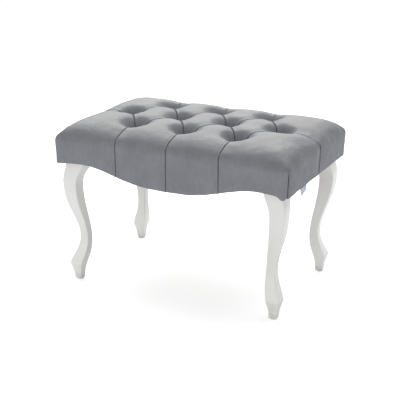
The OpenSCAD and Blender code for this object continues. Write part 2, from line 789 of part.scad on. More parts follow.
// Staple with its crown along X and its legs up, and the slots that its legs make
module staple(gap = 0) {
  translate([-staple_w / 2 - gap, -staple_wire / 2 - gap, -staple_wire])
    cube([staple_w + 2 * gap, staple_wire + 2 * gap, staple_wire]);
  for (side = [-1, 1])
    translate([side * (staple_w - staple_wire) / 2, 0, (staple_l + gap) / 2 - staple_wire / 2])
      cube([staple_wire + 2 * gap, staple_wire + 2 * gap, staple_l + gap + staple_wire], center = true);
}
function cover_staple_spots() = concat(
  [for (side = [-1, 1]) for (k = [0:len(x_lines) - 2])
    let (a = x_lines[k], b = x_lines[k + 1], a_z = front_low_z(a), b_z = front_low_z(b))
    if (b - a > 2 * staple_w && abs(a + b) / 2 < arc_x)
      [(a + b) / 2, side * (arc_y + staple_out), (a_z + b_z) / 2, 0, atan2(b_z - a_z, b - a)]],
  [for (side = [-1, 1]) for (k = [0:len(y_lines) - 2])
    let (a = y_lines[k], b = y_lines[k + 1], a_z = side_low_z(a), b_z = side_low_z(b))
    if (b - a > 2 * staple_w && abs(a + b) / 2 < arc_y)
      [side * (arc_x + staple_out), (a + b) / 2, (a_z + b_z) / 2, 90, atan2(b_z - a_z, b - a)]]
);
module cover_staple_set(gap = 0) {
  for (p = cover_staple_spots())
    translate([p[0], p[1], p[2] - staple_drop])
      rotate([0, 0, p[3]])
        rotate([0, -p[4], 0])
          staple(gap);
}
module cover_staple_slots() { cover_staple_set(fix_gap); }
module cover_staples() { color("#b8bcc0") cover_staple_set(); }

// Dust cover: black cloth stapled under the cleats, cut away round the leg blocks
function dust_staple_spots() = concat(
  [for (s = dust_staple_shares) for (side = [-1, 1])
    [s * cleat_x, side * (bay_y - wood_gap - cleat_w / 2), 0]],
  [for (s = side_staple_shares) for (side = [-1, 1])
    [side * (bay_x - wood_gap - cleat_w / 2), s * cleat_y, 90]]
);
module dust_staple_set(gap = 0) {
  for (p = dust_staple_spots())
    translate([p[0], p[1], plate_low - dust_t])
      rotate([0, 0, p[2]])
        staple(gap);
}
module dust_staples() { color("#b8bcc0") dust_staple_set(); }
module dust_cover() {
  block_in_x = leg_x + leg_shoulder - leg_block - dust_gap;
  block_in_y = leg_y + leg_shoulder - leg_block - dust_gap;
  color("#1c1c1e")
    difference() {
      translate([0, 0, plate_low - dust_t])
        linear_extrude(height = dust_t)
          difference() {
            square([2 * (bay_x - dust_gap), 2 * (bay_y - dust_gap)], center = true);
            for (c = corners)
              translate([c[0] * (block_in_x + leg_block), c[1] * (block_in_y + leg_block)])
                square(2 * leg_block, center = true);
          }
      dust_staple_set(fix_gap);
    }
}

// Side label: a bare folded ribbon sewn under the right wall's turned edge
module side_label() {
  face_x = arc_x + low_r;
  top = side_low_z(label_y) - fix_gap;
  color("#e6e9ee")
    translate([0, label_w / 2 - label_y, 0])
      rotate([90, 0, 0])
        linear_extrude(height = label_w)
          polygon([
            [face_x - label_t - label_tab, top], [face_x - label_t, top],
            [face_x - label_t, top - label_drop], [face_x - 2 * label_t, top - label_drop],
            [face_x - 2 * label_t, top - label_t], [face_x - label_t - label_tab, top - label_t]
          ]);
}

leg_front_left();
leg_front_right();
leg_back_left();
leg_back_right();
glide_front_left();
glide_front_right();
glide_back_left();
glide_back_right();
glide_nails();
front_rail();
back_rail();
left_rail();
right_rail();
plate_front_left();
plate_front_right();
plate_back_left();
plate_back_right();
front_cleat();
back_cleat();
left_cleat();
right_cleat();
seat_board();
hanger_bolts();
tee_nuts();
board_screws();
plate_screws();
cleat_screws();
corner_screws();
foam_pad();
wadding();
seat_cover();
tuft_buttons();
tuft_twines();
twine_discs();
cover_staples();
dust_cover();
dust_staples();
side_label();
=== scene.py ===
import math

import bmesh
import bpy
import numpy as np
from mathutils import Matrix, Vector, noise


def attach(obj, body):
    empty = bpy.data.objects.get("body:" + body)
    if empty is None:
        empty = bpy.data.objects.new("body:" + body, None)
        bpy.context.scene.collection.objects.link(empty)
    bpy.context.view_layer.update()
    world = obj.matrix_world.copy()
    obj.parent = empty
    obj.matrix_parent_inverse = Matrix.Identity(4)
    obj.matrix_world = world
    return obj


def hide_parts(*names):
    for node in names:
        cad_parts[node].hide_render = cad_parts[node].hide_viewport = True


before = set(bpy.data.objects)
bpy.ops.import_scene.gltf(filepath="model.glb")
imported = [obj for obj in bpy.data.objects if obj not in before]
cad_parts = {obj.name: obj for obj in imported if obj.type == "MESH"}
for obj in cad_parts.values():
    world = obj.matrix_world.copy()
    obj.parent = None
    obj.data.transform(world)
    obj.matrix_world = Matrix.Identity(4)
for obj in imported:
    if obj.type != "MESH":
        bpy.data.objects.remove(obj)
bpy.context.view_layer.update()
MM = 0.001

# The stage: a camera at the photograph's place, a pale floor that keeps the bench's soft shadow, and
# a white background. The lamps are a wide soft box overhead, a fill in front and the world's own light.
CAMERA_FOCUS = (0.0522, -0.1235, 0.2431)
CAMERA_AZIMUTH = 25.33
CAMERA_ELEVATION = 18.76
CAMERA_ROLL = 0.69
CAMERA_DISTANCE = 2.3418
CAMERA_LENS = 90.33
WORLD_LIGHT = 0.6
FLOOR_HALF = 30
FLOOR_COLOR = (0.86, 0.86, 0.86, 1)
FLOOR_GLOW = 0.48
KEY_LAMP = {"place": (-0.4, 1.2, 2.5), "aim": (0, 0, 0.3), "size": (4, 3), "power": 96}
FILL_LAMP = {"place": (-0.4, -3.2, 0.7), "aim": (0, 0, 0.2), "size": (2.8, 1.2), "power": 17}


def put(name, data):
    """A new object in the scene."""
    piece = bpy.data.objects.new(name, data)
    bpy.context.collection.objects.link(piece)
    return piece


def make_camera():
    turn, lift, roll = (math.radians(a) for a in (CAMERA_AZIMUTH, CAMERA_ELEVATION, CAMERA_ROLL))
    aim = Matrix.Rotation(turn, 3, "Z") @ Matrix.Rotation(math.pi / 2 - lift, 3, "X")
    aim @= Matrix.Rotation(roll, 3, "Z")
    data = bpy.data.cameras.new("camera")
    data.lens = CAMERA_LENS
    data.clip_end = 50
    camera = put("camera", data)
    place = Vector(CAMERA_FOCUS) + aim @ Vector((0, 0, CAMERA_DISTANCE))
    camera.matrix_world = Matrix.Translation(place) @ aim.to_4x4()
    bpy.context.scene.camera = camera


def feed(tree, node, **links):
    """Sets a node's sockets, each to a value or from another socket. The name _0 means the first one."""
    for name, source in links.items():
        socket = node.inputs[int(name[1:]) if name[1:].isdigit() else name.replace("_", " ")]
        if isinstance(source, bpy.types.NodeSocket):
            tree.links.new(source, socket)
        else:
            socket.default_value = source
    return node


def add_node(tree, kind, settings=(), **links):
    """A new node with its settings made and its sockets fed."""
    node = tree.nodes.new(f"ShaderNode{kind}")
    for name, value in dict(settings).items():
        setattr(node, name, value)
    return feed(tree, node, **links)


def worked(tree, operation, *values):
    """What a Math node makes of some values."""
    links = {f"_{number}": value for number, value in enumerate(values)}
    return add_node(tree, "Math", {"operation": operation}, **links).outputs[0]


def new_material(name, **looks):
    """A material with its node tree and its Principled shader, whose sockets are set by name."""
    material = bpy.data.materials.new(name)
    material.use_nodes = True
    tree = material.node_tree
    return material, tree, feed(tree, tree.nodes["Principled BSDF"], **looks)


def make_world():
    world = bpy.data.worlds.new("studio")
    world.use_nodes = True
    tree = world.node_tree
    sky = feed(tree, tree.nodes["Background"], Color=(1, 1, 1, 1), Strength=WORLD_LIGHT)
    seen = add_node(tree, "Background", Color=(1, 1, 1, 1), Strength=1)
    rays = add_node(tree, "LightPath").outputs
    seen_by = worked(tree, "MAXIMUM", rays["Is Camera Ray"], rays["Is Glossy Ray"])
    seen_by = worked(tree, "MAXIMUM", seen_by, rays["Is Transmission Ray"])
    mix = add_node(tree, "MixShader", _0=seen_by, _1=sky.outputs[0], _2=seen.outputs[0])
    feed(tree, tree.nodes["World Output"], Surface=mix.outputs[0])
    bpy.context.scene.world = world


def make_lamp(name, place, aim, size, power):
    data = bpy.data.lights.new(name, "AREA")
    data.shape = "RECTANGLE"
    data.size, data.size_y = size
    data.energy = power
    lamp = put(name, data)
    lamp.location = place
    lamp.rotation_euler = (Vector(aim) - Vector(place)).to_track_quat("-Z", "Y").to_euler()


def mesh_from(name, bm):
    mesh = bpy.data.meshes.new(name)
    bm.to_mesh(mesh)
    bm.free()
    return mesh


def make_floor():
    bm = bmesh.new()
    bmesh.ops.create_grid(bm, x_segments=1, y_segments=1, size=FLOOR_HALF)
    floor = put("floor", mesh_from("floor", bm))
    material, tree, shader = new_material(
        "floor_paper", Base_Color=FLOOR_COLOR, Roughness=1, Specular_IOR_Level=0,
        Emission_Color=(1, 1, 1, 1))
    seen = add_node(tree, "LightPath").outputs["Is Camera Ray"]
    feed(tree, shader, Emission_Strength=worked(tree, "MULTIPLY", seen, FLOOR_GLOW))
    floor.data.materials.append(material)


bpy.context.scene.view_settings.view_transform = "Standard"
make_camera()
make_world()
make_floor()
make_lamp("key_overhead", **KEY_LAMP)
make_lamp("front_fill", **FILL_LAMP)

# The legs: four beech cabriole legs, sawn to one curve along both directions, rounded at the edges,
# ringed round the foot and sprayed in satin white lacquer. Each is bolted up into a corner plate.
LEG_X, LEG_Y = 259.7 * MM, 159.7 * MM
LEG_BOW = 26 * MM
LEG_EDGE = 2.2 * MM
TOE_EDGE = 0.8 * MM
GLIDE_H = 3 * MM
SHOULDER_Z = 303 * MM
PLATE_Z = 326 * MM
LEG_BLOCK = 48 * MM
LEG_SHOULDER = 19 * MM
TOE_STEP = 0.4 * MM
TOE_REACH = 6 * MM
RING_DEPTH = 0.8 * MM
RING_H = 1.4 * MM
RING_SLOPE = 0.3 * MM
LEG_SHARES = [
    (0, 0.36, -0.36), (0.05, 0.42, -0.39), (0.1, 0.56, -0.48), (0.135, 0.66, -0.565),
    (0.16, 0.60, -0.65), (0.21, 0.37, -0.80), (0.265, 0.12, -0.90), (0.34, -0.055, -0.94),
    (0.43, -0.01, -0.88), (0.53, 0.27, -0.73), (0.63, 0.63, -0.56), (0.715, 0.86, -0.455),
    (0.79, 0.97, -0.41), (0.855, 1, -0.44), (0.905, 0.94, -0.62), (0.95, 0.84, -0.88),
]
RING_SHARES = (0.012, 0.028)
LACQUER_COLOR = (0.8, 0.8, 0.79)
LACQUER_EDGE_COLOR = (0.7, 0.69, 0.66)
LEG_CURVE_H = SHOULDER_Z - GLIDE_H
TOE_SHARE = 0.135
ROW_STEP = 2.5 * MM
EDGE_STEPS = 4


def smooth_between(rows, at):
    """The value at height at on a smooth curve through rows of (height, value)."""
    heights = [r[0] for r in rows]
    k = max(1, min(len(rows) - 1, int(np.searchsorted(heights, at))))
    z0, v0 = rows[k - 1]
    z1, v1 = rows[k]
    back = rows[max(k - 2, 0)]
    ahead = rows[min(k + 1, len(rows) - 1)]
    step = z1 - z0
    slope0 = (v1 - back[1]) / (z1 - back[0]) * step if k > 1 else v1 - v0
    slope1 = (ahead[1] - v0) / (ahead[0] - z0) * step if k < len(rows) - 1 else v1 - v0
    t = (at - z0) / step
    return ((2 * t**3 - 3 * t**2 + 1) * v0 + (t**3 - 2 * t**2 + t) * slope0
            + (3 * t**2 - 2 * t**3) * v1 + (t**3 - t**2) * slope1)


def leg_faces_at(z):
    """Outer and inner face of a leg at height z, measured from the foot's axis."""
    rows = [(GLIDE_H + s * LEG_CURVE_H, a * LEG_BOW, b * LEG_BOW) for s, a, b in LEG_SHARES]
    rows.append((SHOULDER_Z, LEG_SHOULDER, LEG_SHOULDER - LEG_BLOCK))
    if z >= SHOULDER_Z:
        return rows[-1][1:]
    toe = [s[0] for s in LEG_SHARES].index(TOE_SHARE)
    part = rows[: toe + 1] if z <= rows[toe][0] else rows[toe:]
    return tuple(smooth_between([(r[0], r[side]) for r in part], z) for side in (1, 2))


def leg_rows():
    """Heights with the outer face, the inner face and the rounding of the edges."""
    heights = list(np.arange(GLIDE_H, SHOULDER_Z, ROW_STEP)) + [SHOULDER_Z, PLATE_Z]
    toe_z = GLIDE_H + TOE_SHARE * LEG_CURVE_H
    heights = [h for h in heights if abs(h - toe_z) > MM] + [toe_z - TOE_STEP, toe_z, toe_z + TOE_STEP]
    rings = [GLIDE_H + s * LEG_CURVE_H for s in RING_SHARES]
    heights = [h for h in heights if all(not (z - MM < h < z + RING_H + MM) for z in rings)]
    rows = []
    for h in heights:
        outer, inner = leg_faces_at(h)
        near_toe = math.exp(-(((h - toe_z) / TOE_REACH) ** 2))
        rows.append((h, outer, inner, LEG_EDGE + (TOE_EDGE - LEG_EDGE) * near_toe))
    for z in rings:
        outer, inner = leg_faces_at(z)
        for up, cut in ((0, 0), (RING_SLOPE, RING_DEPTH), (RING_H - RING_SLOPE, RING_DEPTH), (RING_H, 0)):
            rows.append((z + up, outer - cut, inner + cut, LEG_EDGE))
    return sorted(rows)


def rounded_square(outer, inner, edge):
    """Points round a square section, counted anticlockwise, with each edge as an arc."""
    points = []
    for k in range(4):
        quarter = k * math.pi / 2
        x = outer - edge if k in (0, 3) else inner + edge
        y = outer - edge if k in (0, 1) else inner + edge
        for s in range(EDGE_STEPS + 1):
            angle = quarter + s / EDGE_STEPS * math.pi / 2
            points.append((x + edge * math.cos(angle), y + edge * math.sin(angle)))
    return points


def smooth_piece(name, vertices, faces):
    mesh = bpy.data.meshes.new(name)
    mesh.from_pydata(vertices, [], faces)
    mesh.polygons.foreach_set("use_smooth", [True] * len(mesh.polygons))
    mesh.update()
    return put(name, mesh)


def loft(name, loops):
    """A piece through closed loops of points, one above the other, closed at both ends."""
    count = len(loops[0])
    vertices = [p for loop in loops for p in loop]
    faces = []
    for k in range(len(loops) - 1):
        for i in range(count):
            n = (i + 1) % count
            faces.append((k * count + i, k * count + n, (k + 1) * count + n, (k + 1) * count + i))
    faces.append(tuple(range(count - 1, -1, -1)))
    faces.append(tuple(range((len(loops) - 1) * count, len(loops) * count)))
    return smooth_piece(name, vertices, faces)


def new_group(name, inputs, outputs):
    """A shader node group with its sockets, each given as (name, kind) or (name, kind, value)."""
    tree = bpy.data.node_groups.new(name, "ShaderNodeTree")
    for socket_name, kind, *value in inputs:
        socket = tree.interface.new_socket(name=socket_name, in_out="INPUT", socket_type=f"NodeSocket{kind}")
        if value:
            socket.default_value = value[0]
    for socket_name, kind in outputs:
        tree.interface.new_socket(name=socket_name, in_out="OUTPUT", socket_type=f"NodeSocket{kind}")
    return tree, tree.nodes.new("NodeGroupInput").outputs, tree.nodes.new("NodeGroupOutput").inputs


def place_group(tree, group, **links):
    """The outputs of a group that is placed among a material's nodes with some values."""
    return add_node(tree, "Group", {"node_tree": group}, **links).outputs


def on_piece(tree):
    """The place of each point on the piece itself."""
    return add_node(tree, "TexCoord").outputs["Object"]


def multiplied(tree, vector, other):
    return add_node(tree, "VectorMath", {"operation": "MULTIPLY"}, _0=vector, _1=other).outputs[0]


def ranged(tree, value, low, high, to_low, to_high):
    """A value carried over from one range to another, and held at the ends."""
    return add_node(
        tree, "MapRange", Value=value, From_Min=low, From_Max=high, To_Min=to_low, To_Max=to_high).outputs[0]


def mixed(tree, share, color, other):
    mix = add_node(tree, "Mix", {"data_type": "RGBA"}, Factor=share)
    mix.inputs["A"].default_value = (*color, 1)
    mix.inputs["B"].default_value = (*other, 1)
    return mix.outputs["Result"]


def make_unevenness():
    """Soft irregular light and dark over a surface, as a tone round 1 and as a height from 0 to 1."""
    tree, given, out = new_group(
        "unevenness",
        [("Features per metre", "Float", 100), ("Stretch", "Vector", (1, 1, 1)), ("Contrast", "Float", 0.1)],
        [("Tone", "Float"), ("Height", "Float")])
    drawn = multiplied(tree, on_piece(tree), given["Stretch"])
    cloud = add_node(tree, "TexNoise", Vector=drawn, Scale=given["Features per metre"], Detail=3)
    cloud = cloud.outputs["Fac"]
    swing = ranged(tree, cloud, 0.3, 0.7, -1, 1)
    tree.links.new(worked(tree, "MULTIPLY_ADD", swing, given["Contrast"], 1), out["Tone"])
    tree.links.new(cloud, out["Height"])
    return tree


def tinted(tree, color, *tones):
    """A colour, or a value, multiplied by one or more tones."""
    for tone in tones:
        color = add_node(tree, "VectorMath", {"operation": "SCALE"}, _0=color, Scale=tone).outputs["Vector"]
    return color


def bumped(tree, shader, height, distance):
    bump = add_node(tree, "Bump", Height=height, Distance=distance, Strength=1)
    tree.links.new(bump.outputs["Normal"], shader.inputs["Normal"])


def dress(material, *names):
    """Gives a material to CAD nodes that stay."""
    for name in names:
        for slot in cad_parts[name].material_slots:
            slot.material = material


unevenness = make_unevenness()


def uneven(tree, per_metre, contrast, stretch=(1, 1, 1)):
    """Unevenness in a material, with this many features in a metre."""
    return place_group(tree, unevenness, Features_per_metre=per_metre, Contrast=contrast, Stretch=stretch)


def make_lacquer():
    """Sprayed lacquer: a slight orange peel, and duller and warmer where hands and feet rub the edges."""
    material, tree, shader = new_material("white_lacquer", Coat_Weight=0.35, Coat_Roughness=0.18)
    worn = ranged(tree, add_node(tree, "NewGeometry").outputs["Pointiness"], 0.53, 0.6, 0, 1)
    peel = uneven(tree, 420, 0.012)
    cloud = uneven(tree, 14, 0.02, (1, 1, 0.4))
    color = tinted(tree, mixed(tree, worn, LACQUER_COLOR, LACQUER_EDGE_COLOR), peel["Tone"], cloud["Tone"])
    feed(tree, shader, Base_Color=color, Roughness=ranged(tree, cloud["Height"], 0.3, 0.7, 0.28, 0.38))
    bumped(tree, shader, peel["Height"], 0.12 * MM)
    return material


lacquer = make_lacquer()
for side_y, depth_word in ((-1, "front"), (1, "back")):
    for side_x, side_word in ((-1, "left"), (1, "right")):
        loops = []
        for z, outer, inner, edge in leg_rows():
            square = rounded_square(outer, inner, edge)
            loop = [(side_x * (LEG_X + x), side_y * (LEG_Y + y), z) for x, y in square]
            loops.append(loop if side_x * side_y > 0 else loop[::-1])
        leg = loft(f"cabriole_leg_{depth_word}_{side_word}", loops)
        leg.data.materials.append(lacquer)
        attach(leg, "root")
        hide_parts(f"leg_{depth_word}_{side_word}")

# The glides: white nylon discs moulded with a bevelled tread, each held under its foot by one steel
# nail whose head sits in the pocket of the tread. The nylon is matt and slightly scuffed.
GLIDE_COLOR = (0.78, 0.78, 0.76)


def make_plastic(name, color, marks_per_metre, contrast, depth, stretch=(1, 1, 1), **looks):
    """Moulded plastic with faint scuffs or flow marks."""
    material, tree, shader = new_material(name, **looks)
    marks = uneven(tree, marks_per_metre, contrast, stretch)
    feed(tree, shader, Base_Color=tinted(tree, color, marks["Tone"]))
    bumped(tree, shader, marks["Height"], depth)
    return material


nylon = make_plastic(
    "white_nylon", GLIDE_COLOR, 700, 0.05, 0.1 * MM, (1, 0.3, 1), Roughness=0.55, Subsurface_Weight=0.05)
CORNERS = [f"{depth}_{side}" for depth in ("front", "back") for side in ("left", "right")]
dress(nylon, *(f"glide_{corner}" for corner in CORNERS))

# The rails, corner plates and seat board: bare birch plywood. The rails are screwed at the corners, the
# plates lie under the board over the legs, and the edges show the plies as pale and dark layers.
PLY_COLOR = (0.62, 0.46, 0.29)
PLY_CORE_COLOR = (0.42, 0.28, 0.16)
PLY_THICKNESS = 1.4 * MM


def make_grain():
    """Wood grain along one axis: growth bands drawn out along the board, and fine pores."""
    tree, given, out = new_group(
        "wood_grain", [("Stretch", "Vector", (1, 1, 1)), ("Bands per metre", "Float", 90)],
        [("Tone", "Float"), ("Height", "Float")])
    drawn = multiplied(tree, on_piece(tree), given["Stretch"])
    bands = add_node(
        tree, "TexNoise", Vector=drawn, Scale=given["Bands per metre"], Detail=2, Distortion=0.6)
    pores = add_node(tree, "TexNoise", Vector=drawn, Scale=1400, Detail=2).outputs["Fac"]
    tone = ranged(tree, bands.outputs["Fac"], 0.35, 0.65, 0.86, 1.1)
    tree.links.new(worked(tree, "MULTIPLY", tone, ranged(tree, pores, 0.3, 0.5, 0.85, 1)), out["Tone"])
    tree.links.new(pores, out["Height"])
    return tree


def make_plies():
    """Plies on the edges of a sheet: 1 on a dark layer, and 0 on a pale one and on the faces."""
    tree, given, out = new_group(
        "ply_edges", [("Across", "Vector", (0, 0, 1)), ("Ply", "Float", PLY_THICKNESS)],
        [("Dark layer", "Float")])
    facing = add_node(tree, "NewGeometry").outputs["True Normal"]
    depth, flat = (
        add_node(tree, "VectorMath", {"operation": "DOT_PRODUCT"}, _0=way, _1=given["Across"])
        for way in (on_piece(tree), facing))
    depth, flat = depth.outputs["Value"], flat.outputs["Value"]
    edge = worked(tree, "LESS_THAN", worked(tree, "ABSOLUTE", flat), 0.5)
    swing = worked(tree, "PINGPONG", worked(tree, "DIVIDE", depth, given["Ply"]), 1)
    tree.links.new(worked(tree, "MULTIPLY", edge, ranged(tree, swing, 0.4, 0.6, 0, 1)), out["Dark layer"])
    return tree


grain = make_grain()
plies = make_plies()


def make_plywood(name, across, stretch):
    material, tree, shader = new_material(name, Roughness=0.62)
    wood = place_group(tree, grain, Stretch=stretch, Bands_per_metre=70)
    dark = place_group(tree, plies, Across=across)["Dark layer"]
    feed(tree, shader, Base_Color=tinted(tree, mixed(tree, dark, PLY_COLOR, PLY_CORE_COLOR), wood["Tone"]))
    bumped(tree, shader, wood["Height"], 0.15 * MM)
    return material


dress(make_plywood("plywood_long_rails", (0, 1, 0), (0.12, 1, 1)), "front_rail", "back_rail")
dress(make_plywood("plywood_short_rails", (1, 0, 0), (1, 0.12, 1)), "left_rail", "right_rail")
plates = [f"plate_{corner}" for corner in CORNERS]
dress(make_plywood("plywood_flat", (0, 0, 1), (0.12, 1, 1)), "seat_board", *plates)

# The cleats: planed pine battens between the plates, screwed up into the board. Pine has wide pale
# bands with darker late wood, and a few small knots.
PINE_COLOR = (0.7, 0.53, 0.33)
PINE_KNOT_COLOR = (0.3, 0.17, 0.08)


def make_pine(name, stretch):
    material, tree, shader = new_material(name, Roughness=0.58)
    wood = place_group(tree, grain, Stretch=stretch, Bands_per_metre=130)
    knot = add_node(tree, "TexVoronoi", Vector=on_piece(tree), Scale=11, Randomness=1).outputs["Distance"]
    knot = ranged(tree, knot, 0.06, 0.12, 1, 0)
    feed(tree, shader, Base_Color=tinted(tree, mixed(tree, knot, PINE_COLOR, PINE_KNOT_COLOR), wood["Tone"]))
    bumped(tree, shader, wood["Height"], 0.12 * MM)
    return material


dress(make_pine("pine_long", (0.1, 1, 1)), "front_cleat", "back_cleat")
dress(make_pine("pine_short", (1, 0.1, 1)), "left_cleat", "right_cleat")

# The fixings: hanger bolts, tee nuts, glide nails and staples in bright zinc, and wood screws in yellow
# zinc. Plating is slightly cloudy, with fine drawn lines.
ZINC_COLOR = (0.62, 0.63, 0.65)
YELLOW_ZINC_COLOR = (0.66, 0.54, 0.28)


def make_plating(name, color):
    material, tree, shader = new_material(name, Metallic=1)
    cloud = uneven(tree, 260, 0.09)
    lines = uneven(tree, 3000, 0.05, (1, 1, 0.15))
    feed(tree, shader, Base_Color=tinted(tree, color, cloud["Tone"], lines["Tone"]),
         Roughness=ranged(tree, cloud["Height"], 0.3, 0.7, 0.22, 0.42))
    bumped(tree, shader, lines["Height"], 0.02 * MM)
    return material


dress(make_plating("bright_zinc", ZINC_COLOR),
      "hanger_bolts", "tee_nuts", "glide_nails", "cover_staples", "dust_staples")
dress(make_plating("yellow_zinc", YELLOW_ZINC_COLOR),
      "board_screws", "plate_screws", "cleat_screws", "corner_screws")

# The dust cover: black spun-bonded cloth stapled flat under the cleats, cut away round the leg blocks.
# It is thin, matt, and pressed with small dimples.
DUST_COLOR = (0.022, 0.022, 0.025)


def make_cells():
    """Round cells or dimples of one size over a surface: a height from 0 in their middles up to 1."""
    tree, given, out = new_group("cells", [("Cells per metre", "Float", 500)], [("Height", "Float")])
    cell = add_node(tree, "TexVoronoi", Vector=on_piece(tree), Scale=given["Cells per metre"])
    tree.links.new(cell.outputs["Distance"], out["Height"])
    return tree


cells = make_cells()


def make_celled(name, color, roughness, cells_per_metre, shades, clouds, depth):
    """Stuff with small cells or dimples, with painted shade darkening their middles, and clouded over larger
    areas.
    """
    material, tree, shader = new_material(name, Roughness=roughness)
    height = place_group(tree, cells, Cells_per_metre=cells_per_metre)["Height"]
    # Painted shade: the hollows' low middles are darker
    tones = ranged(tree, height, *shades), uneven(tree, *clouds)["Tone"]
    feed(tree, shader, Base_Color=tinted(tree, color, *tones))
    bumped(tree, shader, height, depth)
    return material


dress(make_celled(
    "dust_cloth", DUST_COLOR, roughness=0.85, cells_per_metre=650, shades=(0, 0.7, 0.7, 1.4),
    clouds=(60, 0.25), depth=0.25 * MM), "dust_cover")

# The foam pad: a block of polyurethane foam on the seat board, as large as the rails, which the twines
# pull into lumps and pits, bored through under each tuft. Its shape carries the wadding and the velvet,
# and a short cloth run swells it between the places that hold it.
SEAT_HALF = np.array([300, 200]) * MM
SEAT_CORNER = 12 * MM
WALL_DRAW = 3 * MM
EDGE_Z = 376 * MM
CROWN_H = 32 * MM
CROWN_REACH = 120 * MM
CROWN_POWER = 2.5
ROLL_POWER = 0.75
CROWN_BLEND = 4
CORNER_DIP = 9 * MM
CORNER_DIP_REACH = 42 * MM
HALF_PITCH = 65.5 * MM
ROW_PITCH = 97 * MM
PIT_DEPTH = 32 * MM
PIT_REACH = 26 * MM
PIT_POWER = 2.4
CREASE_DEPTH = 4 * MM
CREASE_REACH = 14 * MM
PLEAT_VALLEY = 5 * MM
PLEAT_REACH = 28 * MM
BACK_PLEAT_START = 28 * MM
LOW_END_Z = 304 * MM
ARCH_RISE = 5 * MM
ARCH_INSET = 66 * MM
BELLY_DROP = 34 * MM
BELLY_POWER = 1.35
SIDE_RISE = 1 * MM
SIDE_RUN = 30 * MM
ARC = SEAT_HALF - SEAT_CORNER
SIDE_END = (1.25 * ROW_PITCH + ARC[1]) / 2
TUFTS = [(k * HALF_PITCH, row * ROW_PITCH) for row in (-1, 1) for k in (-2, 0, 2)]
CREASES = [sorted([(x, y), (x + step * HALF_PITCH, 0)]) for x, y in TUFTS for step in (-1, 1)]
PLEATS = [((x, y + BACK_PLEAT_START * (y > 0)), (x, math.copysign(SEAT_HALF[1], y))) for x, y in TUFTS]
TUFTS += [(k * HALF_PITCH, 0) for k in (-3, -1, 1, 3)]
PLEATS += [((side * 3 * HALF_PITCH, 0), (side * SEAT_HALF[0], 0)) for side in (-1, 1)]
NEVER_ZERO = 1e-9


def bell(distance, reach):
    return np.exp(-((distance / reach) ** 2))


def beside(plan, start, end):
    """Each point's share of the way along a stretch, distance from it, and distance to one side of it."""
    run = np.subtract(end, start)
    share = np.clip((plan - start) @ run / (run @ run), 0, 1)
    away = plan - start - share[..., None] * run
    across = away @ np.array([run[1], -run[0]]) / np.hypot(*run)
    return share, np.hypot(away[..., 0], away[..., 1]), across


def nearest(plan, stretches):
    """Each point's distance from the nearest of some creases or pleats."""
    return np.min([beside(plan, start, end)[1] for start, end in stretches], axis=0)


def tuft_distance(plan):
    return np.min([np.hypot(plan[..., 0] - x, plan[..., 1] - y) for x, y in TUFTS], axis=0)


def corner_distance(plan):
    return np.hypot(*np.moveaxis(SEAT_HALF - np.abs(plan), -1, 0))


def corner_run(plan):
    """Each point's distance from its corner, measured along the two edges."""
    return (SEAT_HALF - np.abs(plan)).sum(axis=-1)


def crown_rise(plan):
    """From 0 at the seat's edge to 1 on the crown, rounded where two edges meet."""
    gaps = np.maximum(SEAT_HALF - np.abs(plan), NEVER_ZERO)
    inset = (gaps**-CROWN_BLEND).sum(axis=-1) ** (-1 / CROWN_BLEND)
    return (1 - (1 - np.minimum(inset / CROWN_REACH, 1)) ** CROWN_POWER) ** ROLL_POWER


def seat_height(plan):
    """Height of the cover: the crown, less the valleys between the lumps and the pits at the tufts."""
    rise = crown_rise(plan)
    crease = CREASE_DEPTH * bell(nearest(plan, CREASES), CREASE_REACH)
    pleat = PLEAT_VALLEY * bell(nearest(plan, PLEATS), PLEAT_REACH)
    pit = PIT_DEPTH * np.exp(-((tuft_distance(plan) / PIT_REACH) ** PIT_POWER))
    dip = CORNER_DIP * bell(corner_distance(plan), CORNER_DIP_REACH)
    return EDGE_Z + CROWN_H * rise - rise * np.maximum(crease, pleat) - pit - dip


def low_edge(plan):
    """Height of the cover's lower edge: a serpentine in front, and nearly straight along the sides."""
    x = np.minimum(np.abs(plan[..., 0]), ARC[0])
    y = np.clip(np.abs(plan[..., 1]), SIDE_END - SIDE_RUN, SIDE_END)
    far = ARC[0] - ARCH_INSET
    belly = BELLY_DROP * (1 + np.cos(np.pi * (x / far) ** BELLY_POWER)) / 2
    front = LOW_END_Z + np.where(x < far, ARCH_RISE - belly, ARCH_RISE * (1 - ((x - far) / ARCH_INSET) ** 2))
    side = LOW_END_Z + SIDE_RISE * (1 - ((y - SIDE_END + SIDE_RUN) / SIDE_RUN) ** 2)
    return np.where(np.abs(plan[..., 1]) > ARC[1], front, side)


def across_lines(pitch, repeats, axis, steps):
    """Grid lines both ways from the seat's middle: even over the tufts, then out to the arc and edge."""
    tufted = np.linspace(0, repeats * pitch, repeats * steps + 1)
    margin = np.linspace(tufted[-1], ARC[axis], round(steps * (ARC[axis] - tufted[-1]) / pitch) + 1)
    corner = np.linspace(ARC[axis], SEAT_HALF[axis], steps // 5 + 1)
    side = np.concatenate([tufted, margin[1:], corner[1:]])
    return np.concatenate([-side[:0:-1], side])


def between(values, axis=0, closed=False):
    """The same values with a new one halfway between each two neighbours."""
    ahead = np.roll(values, -1, axis)
    both = np.stack([values, (values + ahead) / 2], axis=axis + 1)
    shape = list(values.shape)
    shape[axis] *= 2
    both = both.reshape(shape)
    return both if closed else np.delete(both, -1, axis)


def out_of_arc(plan):
    """How far a point lies out from the arc lines, with each corner square turned into a quarter disc."""
    out = np.maximum(np.abs(plan) - ARC, 0)
    reach = out.max(axis=-1, keepdims=True)
    turn = out.min(axis=-1, keepdims=True) / np.maximum(reach, NEVER_ZERO) * math.pi / 4
    return reach * np.where(out >= reach, np.cos(turn), np.sin(turn)) * (out > 0)


